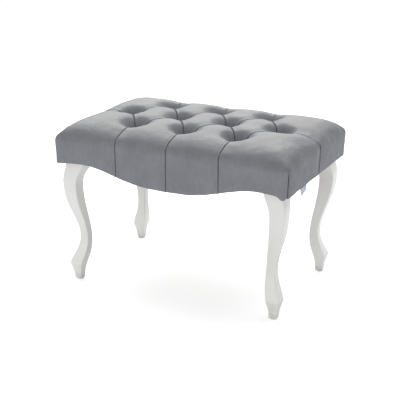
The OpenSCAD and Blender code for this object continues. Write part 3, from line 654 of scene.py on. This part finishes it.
def outward_at(rim_plan):
    """The way out of the seat from each point of its rim, as a unit vector."""
    outward = np.sign(rim_plan) * out_of_arc(rim_plan)
    return outward / np.hypot(outward[:, 0], outward[:, 1])[:, None]


def rim_walk(grid):
    """Places in a grid round its rim, anticlockwise from the front left corner."""
    ny, nx = grid.shape[0] - 1, grid.shape[1] - 1
    walk = [(0, i) for i in range(nx)] + [(j, nx) for j in range(ny)]
    walk += [(ny, i) for i in range(nx, 0, -1)] + [(j, 0) for j in range(ny, 0, -1)]
    return tuple(np.array(walk).T)


def seat_sheet(lines, rows, depth, low_at, hem=()):
    """Points of the seat's top, and of the walls below it, at a depth under the outside.

    Rows of the wall run down to the lower edge. A hem is a list of steps (in, up) beyond that edge."""
    plan = np.stack(np.meshgrid(*lines), axis=-1)
    shrink = (SEAT_CORNER - depth) / SEAT_CORNER
    place = np.sign(plan) * (np.minimum(np.abs(plan), ARC) + shrink * out_of_arc(plan))
    top = np.dstack([place, seat_height(plan) - depth])
    walk = rim_walk(plan)
    rim, rim_plan = top[walk], plan[walk]
    outward = outward_at(rim_plan)
    low = low_at(rim_plan)
    first_up = hem[0][1] if hem else 0
    wall = []
    for share in np.linspace(0, 1, rows + 1)[1:]:
        z = rim[:, 2] + share * (low + first_up - rim[:, 2])
        wall.append(np.column_stack([rim[:, :2] - share * WALL_DRAW * outward, z]))
    for step_in, step_up in hem[1:]:
        wall.append(np.column_stack([rim[:, :2] - (WALL_DRAW + step_in) * outward, low + step_up]))
    return plan, top, np.array(wall)


def sheet_faces(lines, rows):
    """Triangles over the top, split along the creases, and quads down the walls."""
    number = np.arange(len(lines[0]) * len(lines[1])).reshape(len(lines[1]), len(lines[0]))
    a, b, c, d = number[:-1, :-1], number[:-1, 1:], number[1:, :-1], number[1:, 1:]
    x, y = np.meshgrid(*[(line[1:] + line[:-1]) / 2 for line in lines])
    even = (np.abs(x) // HALF_PITCH + np.abs(y) // ROW_PITCH) % 2 == 0
    up = (x * y < 0) == even
    faces = [np.stack(corners, axis=-1)[where] for where, corners in (
        (up, (a, b, d)), (up, (a, d, c)), (~up, (a, b, c)), (~up, (b, d, c)))]
    faces = np.concatenate(faces).tolist()
    above = number[rim_walk(number)]
    for row in range(rows):
        below = number.size + row * len(above) + np.arange(len(above))
        faces += np.stack([above, below, np.roll(below, -1), np.roll(above, -1)], axis=-1).tolist()
        above = below
    return faces


def sheet_mesh(name, top, wall, faces):
    return smooth_piece(name, np.concatenate([top.reshape(-1, 3), wall.reshape(-1, 3)]).tolist(), faces)


def point_values(piece, name):
    values = np.empty(len(piece.data.vertices) * 3)
    piece.data.vertices.foreach_get(name, values)
    return values.reshape(-1, 3)


def move_points(piece, points):
    piece.data.vertices.foreach_set("co", points.ravel())
    piece.data.update()


ROLL_REACH = 9 * MM
ROLL_CORNER_REACH = 26 * MM
ROLL_CORNER_SHARE = 0.75
COARSE_ROUNDS = 8


def roll_edge(piece, plan, wall, rounds):
    """Rounds the seat's upper edge over, by evening out the points near it a number of times."""
    inset = np.min(SEAT_HALF - np.abs(plan), axis=-1).ravel()
    points = point_values(piece, "co")
    rim = np.ravel_multi_index(rim_walk(plan), plan.shape[:2])
    drop = np.tile(points[rim, 2], len(wall)) - points[len(inset):, 2]
    weight = np.concatenate([bell(inset, ROLL_REACH), bell(drop, ROLL_REACH)])[:, None] / 2
    corner = corner_distance(plan).ravel()
    corner = np.concatenate([corner, np.tile(corner[rim], len(wall))])
    weight *= 1 - ROLL_CORNER_SHARE * bell(corner, ROLL_CORNER_REACH)[:, None]
    edges = np.empty(2 * len(piece.data.edges), int)
    piece.data.edges.foreach_get("vertices", edges)
    ends = edges.reshape(-1, 2)
    count = np.bincount(edges, minlength=len(points))[:, None]
    for _ in range(rounds):
        total = np.zeros_like(points)
        np.add.at(total, ends[:, 0], points[ends[:, 1]])
        np.add.at(total, ends[:, 1], points[ends[:, 0]])
        points += weight * (total / count - points)
    move_points(piece, points)


# The coarse grid's cells from one tuft column to the next, its rows down the wall, and the cloth run:
# how far it may swell, and how near the tufts, folds, corners and lower edge it is held
COARSE_STEPS = 16
WALL_ROWS = 12
CLOTH_FRAMES = 20
CLOTH_SETTINGS = {
    "quality": 5, "mass": 0.001, "tension_stiffness": 6, "compression_stiffness": 6, "shear_stiffness": 3,
    "bending_stiffness": 0.4, "vertex_group_mass": "held", "use_pressure": True, "uniform_pressure_force": 4,
}
TOP_SWELL = 6 * MM
WALL_SWELL = 2 * MM
HELD_REACH = 7 * MM
TUFT_HELD_REACH = 14 * MM
LOW_HELD_POWER = 8
SWELL_RAMP = 3


def swollen(lines):
    """How far a cloth run moves the cover's points, on the coarse grid."""
    plan, top, wall = seat_sheet(lines, WALL_ROWS, 0, low_edge)
    faces = sheet_faces(lines, WALL_ROWS)
    piece = sheet_mesh("cloth_run", top, wall, faces)
    near = bell(nearest(plan, CREASES + PLEATS), HELD_REACH)
    top_held = np.maximum(near, bell(tuft_distance(plan), TUFT_HELD_REACH)).ravel()
    rim_plan = plan[rim_walk(plan)]
    near = bell(np.minimum(nearest(rim_plan, PLEATS), corner_run(rim_plan)), HELD_REACH)
    rows_held = [np.maximum(near, share**LOW_HELD_POWER) for share in np.linspace(0, 1, WALL_ROWS + 1)[1:]]
    held = np.concatenate([top_held] + rows_held)
    group = piece.vertex_groups.new(name="held")
    for number, weight in enumerate(held):
        group.add([number], float(weight), "REPLACE")
    cloth = piece.modifiers.new("cloth", "CLOTH")
    for setting, value in CLOTH_SETTINGS.items():
        setattr(cloth.settings, setting, value)
    cloth.settings.effector_weights.gravity = 0
    cloth.point_cache.frame_start = 1
    cloth.point_cache.frame_end = CLOTH_FRAMES
    for number in range(1, CLOTH_FRAMES + 1):
        bpy.context.scene.frame_set(number)
    shaped = piece.evaluated_get(bpy.context.evaluated_depsgraph_get())
    moved = point_values(shaped, "co") - point_values(piece, "co")
    bpy.data.objects.remove(piece)
    bpy.context.scene.frame_set(1)
    size = np.linalg.norm(moved, axis=1, keepdims=True)
    limit = np.full(len(moved), WALL_SWELL)
    limit[: len(top_held)] += TOP_SWELL * np.minimum(crown_rise(plan).ravel() * SWELL_RAMP, 1)
    moved *= limit[:, None] * np.tanh(size / limit[:, None]) / np.maximum(size, NEVER_ZERO)
    return moved[: len(top_held)].reshape(top.shape), moved[len(top_held):].reshape(wall.shape)


coarse = [across_lines(HALF_PITCH, 3, 0, COARSE_STEPS), across_lines(ROW_PITCH, 1, 1, COARSE_STEPS)]
top_swell = np.zeros((len(coarse[1]), len(coarse[0]), 3))
coarse_rim = rim_walk(top_swell)
wall_swell = np.zeros((WALL_ROWS, len(coarse_rim[0]), 3))
top_swell, wall_swell = swollen(coarse)

FOAM_IN = 3.8 * MM
BOARD_TOP = 356 * MM
BORE_RADIUS = 6 * MM
BORE_SIDES = 24
CUT_MERGE = 0.02 * MM
FOLD_DEPTH = 7.5 * MM
FOLD_NEAR = 1.3 * MM
PLEAT_NEAR = 0.8 * MM
FOLD_FAR = 0.8 * MM
FOLD_LEAN = 0.8 * MM
FOLD_END_SHARE = 0.25
PLEAT_SIZE = 0.66
WALL_PLEAT_SIZE = 0.34
PLEAT_FADE_POWER = 4
FOLD_FAR_POWER = 1.4
ROOM_SHARE = 1.3
ROOM_REACH = 8 * MM
TUFT_ROOM = 1.6 * MM
TUFT_ROOM_REACH = 26 * MM
FOAM_COLOR = (0.8, 0.72, 0.46)


def ramp(share):
    share = np.clip(share, 0, 1)
    return share * share * (3 - 2 * share)


def crease_size(share):
    """A crease's depth along its run from one tuft to the next, as a share of the full fold."""
    return ramp(share / FOLD_END_SHARE) * ramp((1 - share) / FOLD_END_SHARE)


def pleat_size(share):
    """A pleat's depth from its tuft to the seat's edge and down the wall, as a share of the full fold."""
    size = PLEAT_SIZE + (WALL_PLEAT_SIZE - PLEAT_SIZE) * share**PLEAT_FADE_POWER
    return ramp(share / FOLD_END_SHARE) * size


FOLDS = [(*ends, crease_size) for ends in CREASES] + [(*ends, pleat_size) for ends in PLEATS]


def fold_room(plan):
    """How far the velvet's folds press the layers under them down."""
    rooms = [TUFT_ROOM * bell(tuft_distance(plan), TUFT_ROOM_REACH)]
    for start, end, size in FOLDS:
        share, distance, _ = beside(plan, start, end)
        rooms.append(FOLD_DEPTH * ROOM_SHARE * size(share) * bell(distance, ROOM_REACH))
    return np.max(rooms, axis=0)


def under_layer(name, plan, top, wall, faces):
    """A layer under the velvet: the seat's shape, pressed down where the velvet is folded."""
    piece = sheet_mesh(name, top, wall, faces)
    roll_edge(piece, plan, wall, COARSE_ROUNDS)
    points = point_values(piece, "co")
    room = fold_room(plan).ravel()
    points[: len(room)] -= room[:, None] * point_values(piece, "normal")[: len(room)]
    move_points(piece, points)
    return piece


def bore(piece, radius, low, high):
    """Cuts a round hole up through a piece under each tuft."""
    bm = bmesh.new()
    for x, y in TUFTS:
        middle = Matrix.Translation((x, y, (low + high) / 2))
        bmesh.ops.create_cone(
            bm, cap_ends=True, segments=BORE_SIDES, radius1=radius, radius2=radius, depth=high - low,
            matrix=middle)
    bores = put("bores", mesh_from("bores", bm))
    piece.modifiers.new("bores", "BOOLEAN").object = bores
    bored = bpy.data.meshes.new_from_object(piece.evaluated_get(bpy.context.evaluated_depsgraph_get()))
    piece.modifiers.clear()
    bm = bmesh.new()
    bm.from_mesh(bored)
    bmesh.ops.remove_doubles(bm, verts=bm.verts, dist=CUT_MERGE)
    bmesh.ops.dissolve_degenerate(bm, edges=bm.edges, dist=CUT_MERGE)
    bmesh.ops.triangulate(bm, faces=bm.faces)
    bm.to_mesh(bored)
    bm.free()
    piece.data = bored
    bpy.data.objects.remove(bores)


plan, top, wall = seat_sheet(
    coarse, WALL_ROWS, FOAM_IN, lambda rim_plan: np.full(len(rim_plan), BOARD_TOP))
faces = sheet_faces(coarse, WALL_ROWS)
base = top[..., 0].size + (WALL_ROWS - 1) * len(coarse_rim[0])
faces.append(list(range(base + len(coarse_rim[0]) - 1, base - 1, -1)))
foam = under_layer("foam_block", plan, top + top_swell, wall, faces)
bore(foam, BORE_RADIUS, BOARD_TOP - MM, EDGE_Z + CROWN_H)
foam.data.materials.append(make_celled(
    "foam", FOAM_COLOR, roughness=0.9, cells_per_metre=900, shades=(0.1, 0.6, 0.78, 1.05),
    clouds=(9, 0.06), depth=0.6 * MM))
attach(foam, "root")
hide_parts("foam_pad")

# The wadding: one blanket of bonded polyester over the foam and down over the rails, which takes the
# hard edges off. It is white, fibrous, and thinner where the pleats are pulled tight down the walls.
WADDING_IN = 1.5 * MM
WADDING_T = 2 * MM
WADDING_THIN_SHARE = 0.1
WADDING_PULL = 2 * MM
RAIL_LIFT = 1.5 * MM
WADDING_COLOR = (0.83, 0.83, 0.8)


def make_wadding():
    material, tree, shader = new_material("wadding", Roughness=0.95, Sheen_Weight=0.3)
    tufts = uneven(tree, 220, 0.06)
    fibres = uneven(tree, 1500, 0.08, (1, 0.2, 1))
    feed(tree, shader, Base_Color=tinted(tree, WADDING_COLOR, tufts["Tone"], fibres["Tone"]))
    bumped(tree, shader, tufts["Height"], 1 * MM)
    return material


plan, top, wall = seat_sheet(coarse, WALL_ROWS, WADDING_IN, lambda rim_plan: low_edge(rim_plan) + RAIL_LIFT)
wadding = under_layer(
    "wadding_blanket", plan, top + top_swell, wall + wall_swell, sheet_faces(coarse, WALL_ROWS))
rim_plan = plan[coarse_rim]
pulled = bell(np.minimum(nearest(rim_plan, PLEATS), corner_run(rim_plan)), ROOM_REACH)
points = point_values(wadding, "co")
pull = WADDING_PULL * pulled[:, None] * outward_at(rim_plan)
points[plan[..., 0].size :, :2] -= np.tile(pull, (WALL_ROWS, 1))
move_points(wadding, points)
thick = wadding.vertex_groups.new(name="thick")
for number in range(len(points)):
    share = 1 - pulled[(number - plan[..., 0].size) % len(pulled)] if number >= plan[..., 0].size else 1
    thick.add([number], float(share), "REPLACE")
blanket = wadding.modifiers.new("wadding_thickness", "SOLIDIFY")
blanket.thickness = WADDING_T
blanket.offset = -1
blanket.vertex_group = "thick"
blanket.thickness_vertex_group = WADDING_THIN_SHARE
wadding.data.materials.append(make_wadding())
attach(wadding, "root")
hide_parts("wadding")

# The velvet cover: one cut of short-pile velvet over the wadding. The buttons pull it down at each tuft,
# it is folded into the creases and pleats between them, sewn up the four corners, and stapled under
# the rails. The folds are laid into the shape that the cloth run gives.
HEM_ROUND = 2.5 * MM
TURN_UNDER = 8 * MM
VELVET_T = 1.2 * MM

# What the needle and the hands add to the folds: the ridge along a pleat and the edge of its underlay,
# the sunk seam at each corner, and the puckers that spread from a tuft, with painted shade in their valleys
PLEAT_RIDGE = 0.7 * MM
RIDGE_AT = 2.6 * MM
RIDGE_REACH = 1.6 * MM
UNDERLAY_AT = 7 * MM
UNDERLAY_DEPTH = 0.6 * MM
UNDERLAY_REACH = 0.9 * MM
SEAM_DEPTH = 2.2 * MM
SEAM_REACH = 1.1 * MM
FINE_REACHES = (9 * MM, 4 * MM)
PUCKERS = 13
PUCKER_DEPTH = 2.4 * MM
PUCKER_LOW = 0.6
PUCKER_SHADE = 0.55
PUCKER_AT = 14 * MM
PUCKER_REACH = 8 * MM


def refine(piece, plan):
    """Splits the cover's mesh near the folds and seams, and gives the plan places of all its points."""
    bm = bmesh.new()
    bm.from_mesh(piece.data)
    place = bm.verts.layers.float_vector.new("plan")
    lift = bm.verts.layers.float.new("lift")
    heights = seat_height(plan[:, :2])
    for vertex, spot, height in zip(bm.verts, plan.tolist(), heights.tolist()):
        vertex[place] = spot
        vertex[lift] = vertex.co.z - height
    for reach in FINE_REACHES:
        plan = np.array([vertex[place][:] for vertex in bm.verts])
        corner = np.where(plan[:, 2] > 0, corner_run(plan[:, :2]), reach)
        close = (np.minimum(nearest(plan[:, :2], CREASES + PLEATS), corner) < reach).tolist()
        bm.verts.index_update()
        edges = [edge for edge in bm.edges if close[edge.verts[0].index] and close[edge.verts[1].index]]
        bmesh.ops.subdivide_edges(bm, edges=edges, cuts=1, use_grid_fill=True)
    bmesh.ops.triangulate(bm, faces=[face for face in bm.faces if len(face.verts) > 4])
    plan = np.array([vertex[place][:] for vertex in bm.verts])
    heights = seat_height(plan[:, :2])
    for vertex, height, below in zip(bm.verts, heights.tolist(), (plan[:, 2] > 0).tolist()):
        if not below:
            vertex.co.z = height + vertex[lift]
    bm.verts.layers.float.remove(lift)
    bm.verts.layers.float_vector.remove(bm.verts.layers.float_vector["plan"])
    bm.to_mesh(piece.data)
    bm.free()
    return plan


def fold(points, normals, plan, start, end, shape):
    """Lays a fold along a stretch: a soft slope on its right, narrow in a pleat, and a steep left one."""
    share, distance, across = beside(plan, start, end)
    run = np.subtract(end, start)
    sideways = np.array([run[1], -run[0], 0]) / np.hypot(*run)
    size = shape(share) * (np.abs(np.abs(across) - distance) < MM / 10)
    near = FOLD_NEAR + (PLEAT_NEAR - FOLD_NEAR) * (shape is pleat_size) * ramp(2 * share)
    slope = np.where(across > 0, across / near, (np.abs(across) / FOLD_FAR) ** FOLD_FAR_POWER)
    lean = FOLD_LEAN * (across < 0) * bell(np.abs(across) - 2 * FOLD_FAR, FOLD_FAR)
    points += (size * lean)[:, None] * sideways - (size * FOLD_DEPTH * np.exp(-slope))[:, None] * normals
    return share, across, size


def soft_unevenness(points, size):
    """Low bumps over the cloth, as values from about -1 to 1."""
    return np.array([noise.noise(Vector(p) / size) for p in points])


VELVET_COLOR = (0.34, 0.34, 0.342)
# Painted shade in the velvet's grooves: its width along folds, down the corner seams and down the side
# pleats, its gain and strength, and the share left to creases
GROOVE_SHADE_REACH = 0.8 * MM
SEAM_SHADE_REACH = 1.6 * MM
SIDE_PLEAT_SHADE_REACH = 3.2 * MM
GROOVE_SHADE_GAIN = 3
GROOVE_SHADE = 0.72
CREASE_SHADE_SHARE = 0.5
SHEEN_FACING = 0.08
SHEEN_ALONG = 0.22
# The corner seams' painted shade begins this far below the upper edge
SEAM_SHADE_START = 12 * MM
# Painted light and shade by slope: the velvet's colour is lightest on flat tops, darkest on slopes, and
# between the two on walls, as though lit from above
SLOPE_SHADE_WALL = (0.7, 0.725, 0.795)
SLOPE_LIGHT_TOP = (1, 1, 1)
SLOPE_SHADE_BETWEEN = ((0.4, (0.58, 0.6, 0.64)), (0.7, (0.5, 0.515, 0.55)), (0.86, (0.54, 0.555, 0.585)),
                (0.94, (0.68, 0.69, 0.71)), (0.985, (0.98, 0.98, 0.98)))
HEM = [(0, HEM_ROUND)]
HEM += [(HEM_ROUND * (1 - math.cos(a)), HEM_ROUND * (1 - math.sin(a))) for a in np.radians((30, 60, 90))]
HEM += [(TURN_UNDER / 2, 0), (TURN_UNDER, 0)]
UNEVEN_SIZE = 22 * MM
UNEVEN_DEPTH = 0.7 * MM
TIP_X = 282 * MM
TIP_REACH = 8 * MM
TIP_DROP = 7 * MM
TIP_H = 25 * MM

fine = [between(line) for line in coarse]
plan, top, wall = seat_sheet(fine, 2 * WALL_ROWS, 0, low_edge, HEM)
top += between(between(top_swell), 1)
down = np.concatenate([top_swell[coarse_rim][None], wall_swell])
wall[: 2 * WALL_ROWS] += between(between(down), 1, closed=True)[1:]
cover = sheet_mesh("velvet_cover", top, wall, sheet_faces(fine, len(wall)))
roll_edge(cover, plan, wall, 4 * COARSE_ROUNDS)
rim_plan = plan[rim_walk(plan)]
plan = np.concatenate([plan.reshape(-1, 2)] + [rim_plan] * len(wall))
plan = refine(cover, np.column_stack([plan, np.arange(len(plan)) >= top[..., 0].size]))
below = plan[:, 2]
plan = plan[:, :2]
points = point_values(cover, "co")
normals = point_values(cover, "normal")
points += (UNEVEN_DEPTH * soft_unevenness(points, UNEVEN_SIZE))[:, None] * normals
# The mask built below is painted shade in the pucker valleys, down the corner seams and along the folds and
# pleats; the velvet's colour darkens by it
painted_shade = np.zeros(len(points))
for x, y in TUFTS:
    angle = np.arctan2(plan[:, 1] - y, plan[:, 0] - x)
    reach = bell(np.hypot(plan[:, 0] - x, plan[:, 1] - y) - PUCKER_AT, PUCKER_REACH)
    drawn = np.abs(np.sin(PUCKERS * angle / 2))
    painted_shade = np.maximum(painted_shade, PUCKER_SHADE * reach * (1 - drawn) ** 2)
    points += (PUCKER_DEPTH * reach * (drawn - PUCKER_LOW))[:, None] * normals
corner = corner_run(plan)
seam_shade_fade = ramp((EDGE_Z - SEAM_SHADE_START - points[:, 2]) / SEAM_SHADE_START)
painted_shade += (below > 0) * bell(corner, SEAM_SHADE_REACH) * seam_shade_fade
for start, end, size in FOLDS:
    share, across, depth = fold(points, normals, plan, start, end, size)
    reach = np.where((below > 0) & (start[1] == end[1]), SIDE_PLEAT_SHADE_REACH, GROOVE_SHADE_REACH)
    most = 1 if size is pleat_size else CREASE_SHADE_SHARE
    painted_shade = np.maximum(painted_shade, np.minimum(GROOVE_SHADE_GAIN * depth, most) * bell(across, reach))
    if size is pleat_size:
        ridge = PLEAT_RIDGE * bell(across - RIDGE_AT, RIDGE_REACH)
        ridge -= UNDERLAY_DEPTH * bell(across - UNDERLAY_AT, UNDERLAY_REACH)
        points += ((depth > 0) * ramp(share / FOLD_END_SHARE) * ridge)[:, None] * normals
points -= (SEAM_DEPTH * (below > 0) * bell(corner, SEAM_REACH))[:, None] * normals
tip = (below > 0) * (plan[:, 1] < -ARC[1]) * (plan[:, 0] > 0) * bell(plan[:, 0] - TIP_X, TIP_REACH)
points[:, 2] -= TIP_DROP * tip * ramp(1 - (points[:, 2] - LOW_END_Z) / TIP_H)
cover.data.attributes.new("painted_shade", "FLOAT", "POINT").data.foreach_set("value", painted_shade)
move_points(cover, points)
skin = cover.modifiers.new("velvet_thickness", "SOLIDIFY")
skin.thickness = VELVET_T
skin.offset = -1


def make_velvet():
    """Velvet with painted light and shade by slope, painted shade in its grooves, and a sheen along its
    edges.
    """
    material, tree, shader = new_material(
        "velvet", Roughness=0.9, Specular_IOR_Level=0.1, Sheen_Roughness=0.4, Sheen_Tint=(0.93, 0.95, 1, 1))
    mottle = uneven(tree, 24, 0.06)
    brushed = uneven(tree, 150, 0.05, (1, 1, 0.3))
    pile = uneven(tree, 1300, 0.1)
    slope = add_node(tree, "SeparateXYZ", _0=add_node(tree, "NewGeometry").outputs["Normal"])
    # Painted light and shade: the colour is set by how far each surface faces up
    slope_light_and_shade = add_node(tree, "ValToRGB", Fac=slope.outputs["Z"])
    slope_light_and_shade.color_ramp.interpolation = "B_SPLINE"
    slope_light_and_shade.color_ramp.elements[0].color = (*SLOPE_SHADE_WALL, 1)
    slope_light_and_shade.color_ramp.elements[1].color = (*SLOPE_LIGHT_TOP, 1)
    for place, value in SLOPE_SHADE_BETWEEN:
        slope_light_and_shade.color_ramp.elements.new(place).color = (*value, 1)
    # Painted shade: the colour darkens by the shade mask in grooves and on the buttons
    painted_shade = add_node(tree, "Attribute", {"attribute_name": "painted_shade"}).outputs["Fac"]
    shaded = ranged(tree, painted_shade, 0, 1, 1, 1 - GROOVE_SHADE)
    color = multiplied(tree, slope_light_and_shade.outputs["Color"], VELVET_COLOR)
    color = tinted(tree, color, mottle["Tone"], brushed["Tone"], pile["Tone"], shaded)
    edge = add_node(tree, "LayerWeight", Blend=0.5).outputs["Facing"]
    feed(tree, shader, Base_Color=color, Sheen_Weight=ranged(tree, edge, 0.4, 1, SHEEN_FACING, SHEEN_ALONG))
    bumped(tree, shader, pile["Height"], 0.25 * MM)
    return material


velvet = make_velvet()
cover.data.materials.append(velvet)
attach(cover, "root")
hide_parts("seat_cover")

# The covered buttons: a metal shell under a disc of the same velvet, gathered behind and pulled down on
# its twine to the bottom of each tuft. No two sit quite level.
BUTTON_RADIUS = 7.5 * MM
BUTTON_TIP_Z = 372.4 * MM
BUTTON_ROOT = 7 * MM
BUTTON_SHANK = 1.2 * MM
BUTTON_TUCK = 0.4 * MM
BUTTON_RIM_H = 1.5 * MM
BUTTON_DOME = 3 * MM
BUTTON_FLARE = 1.3
BUTTON_SIDES = 60
BUTTON_TURN = 2.4
GATHERS = 12
GATHER_DEPTH = 0.35 * MM
BUTTON_TILT = math.radians(4)
# Painted shade over each whole button, as a share of the velvet's groove shade
BUTTON_SHADE = 0.5


def button_loops(x, y, turn):
    """Loops of points up one button: gathered root, rolled rim and low dome, leant a little to one side."""
    neck = BUTTON_RADIUS - BUTTON_SHANK - BUTTON_TUCK
    rim_z = BUTTON_ROOT + BUTTON_RIM_H
    rows = [(BUTTON_SHANK + neck * s, BUTTON_ROOT * s**BUTTON_FLARE, math.sin(math.pi * s) + 0.15)
            for s in np.linspace(0, 1, 7)]
    rows += [(BUTTON_RADIUS, BUTTON_ROOT + BUTTON_RIM_H * s, 0.1) for s in (0.35, 0.65)]
    rows += [(BUTTON_RADIUS * math.cos(a), rim_z + (BUTTON_DOME - BUTTON_RIM_H) * math.sin(a), 0)
             for a in np.radians((12, 26, 40, 54, 68, 80, 88))]
    lean = Matrix.Rotation(BUTTON_TILT, 3, (math.cos(turn), math.sin(turn), 0))
    loops = []
    for radius, height, gathered in rows:
        loop = []
        for angle in np.linspace(0, 2 * math.pi, BUTTON_SIDES, endpoint=False):
            reach = radius + GATHER_DEPTH * gathered * math.cos(GATHERS * angle)
            point = lean @ Vector((reach * math.cos(angle), reach * math.sin(angle), height))
            loop.append(tuple(point + Vector((x, y, BUTTON_TIP_Z))))
        loops.append(loop)
    return loops


for number, (x, y) in enumerate(TUFTS, 1):
    button = loft(f"tuft_button_{number}", button_loops(x, y, BUTTON_TURN * number))
    # Painted shade, the same all over the button, through the same mask as the cover's grooves
    button_shade = button.data.attributes.new("painted_shade", "FLOAT", "POINT")
    button_shade.data.foreach_set("value", np.full(len(button.data.vertices), BUTTON_SHADE))
    button.data.materials.append(velvet)
    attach(button, "root")
    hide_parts("tuft_buttons")

# The twines and discs: waxed tufting twine from each button through foam and board, knotted behind a
# plain pressed plastic disc.
TWINE_COLOR = (0.74, 0.7, 0.58)
DISC_COLOR = (0.68, 0.69, 0.71)
LAY_SCALE = 125


def make_twine():
    material, tree, shader = new_material("waxed_twine", Roughness=0.5)
    lay = add_node(
        tree, "TexWave", {"bands_direction": "DIAGONAL"},
        Vector=on_piece(tree), Scale=LAY_SCALE, Distortion=1).outputs["Fac"]
    feed(tree, shader, Base_Color=tinted(tree, TWINE_COLOR, ranged(tree, lay, 0, 1, 0.7, 1.1)))
    bumped(tree, shader, lay, 0.25 * MM)
    return material


dress(make_twine(), "tuft_twines")
dress(make_plastic("pressed_plastic", DISC_COLOR, 120, 0.04, 0.05 * MM, Roughness=0.35), "twine_discs")

# The label: a bare woven ribbon folded in two, its ends sewn under the right wall's turned edge. It
# hangs free, so its front corner has curled outwards.
LABEL_Y = -98 * MM
LABEL_W = 40 * MM
LABEL_TOP = 304.8 * MM
LABEL_X = 296.2 * MM
LABEL_DROP = 13 * MM
LABEL_TAB = 4 * MM
LABEL_GAP = 0.6 * MM
LABEL_CURL = 4 * MM
LABEL_SAG = 3 * MM
RIBBON_T = 0.25 * MM
RIBBON_COLUMNS = 21
RIBBON_COLOR = (0.5, 0.56, 0.66)


def ribbon_path():
    """The ribbon's run seen from the front: out from the hem, down, round the fold, and back up."""
    outer = [(LABEL_X - LABEL_TAB * (1 - s), LABEL_TOP) for s in (0, 0.4, 0.75)]
    outer += [(LABEL_X, LABEL_TOP - LABEL_DROP * s) for s in np.linspace(0.04, 0.96, 14)]
    low = outer[-1][1]
    turn = [(LABEL_X - LABEL_GAP / 2 * (1 - math.cos(a)), low - LABEL_GAP / 2 * math.sin(a))
            for a in np.radians((45, 90, 135))]
    inner = [(2 * LABEL_X - LABEL_GAP - x if z < LABEL_TOP else x, min(z, LABEL_TOP - LABEL_GAP))
             for x, z in outer[::-1]]
    return outer + turn + inner


def make_ribbon():
    """Plain weave: fine crosswise ribs over finer warps."""
    material, tree, shader = new_material("woven_ribbon", Roughness=0.5, Sheen_Weight=0.3)
    ribs, warps = (
        add_node(tree, "TexWave", {"bands_direction": way}, Vector=on_piece(tree), Scale=threads)
        for way, threads in (("Z", 420), ("Y", 520)))
    weave = worked(tree, "MULTIPLY", ribs.outputs["Fac"], warps.outputs["Fac"])
    feed(tree, shader, Base_Color=tinted(tree, RIBBON_COLOR, ranged(tree, weave, 0, 1, 0.88, 1.06)))
    bumped(tree, shader, weave, 0.08 * MM)
    return material


path = ribbon_path()
columns = np.linspace(-0.5, 0.5, RIBBON_COLUMNS)
vertices = []
for across in columns:
    front = 0.5 - across
    for x, z in path:
        fall = (LABEL_TOP - z) / LABEL_DROP
        curl = LABEL_CURL * front**2 * fall**2
        vertices.append((x + curl, LABEL_Y + across * LABEL_W, z - LABEL_SAG * front * fall))
count = len(path)
faces = [(c * count + k, (c + 1) * count + k, (c + 1) * count + k + 1, c * count + k + 1)
         for c in range(len(columns) - 1) for k in range(count - 1)]
ribbon = smooth_piece("side_label_ribbon", vertices, faces)
ribbon.data.materials.append(make_ribbon())
woven = ribbon.modifiers.new("ribbon_thickness", "SOLIDIFY")
woven.thickness = RIBBON_T
woven.offset = 0
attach(ribbon, "root")
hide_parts("side_label")
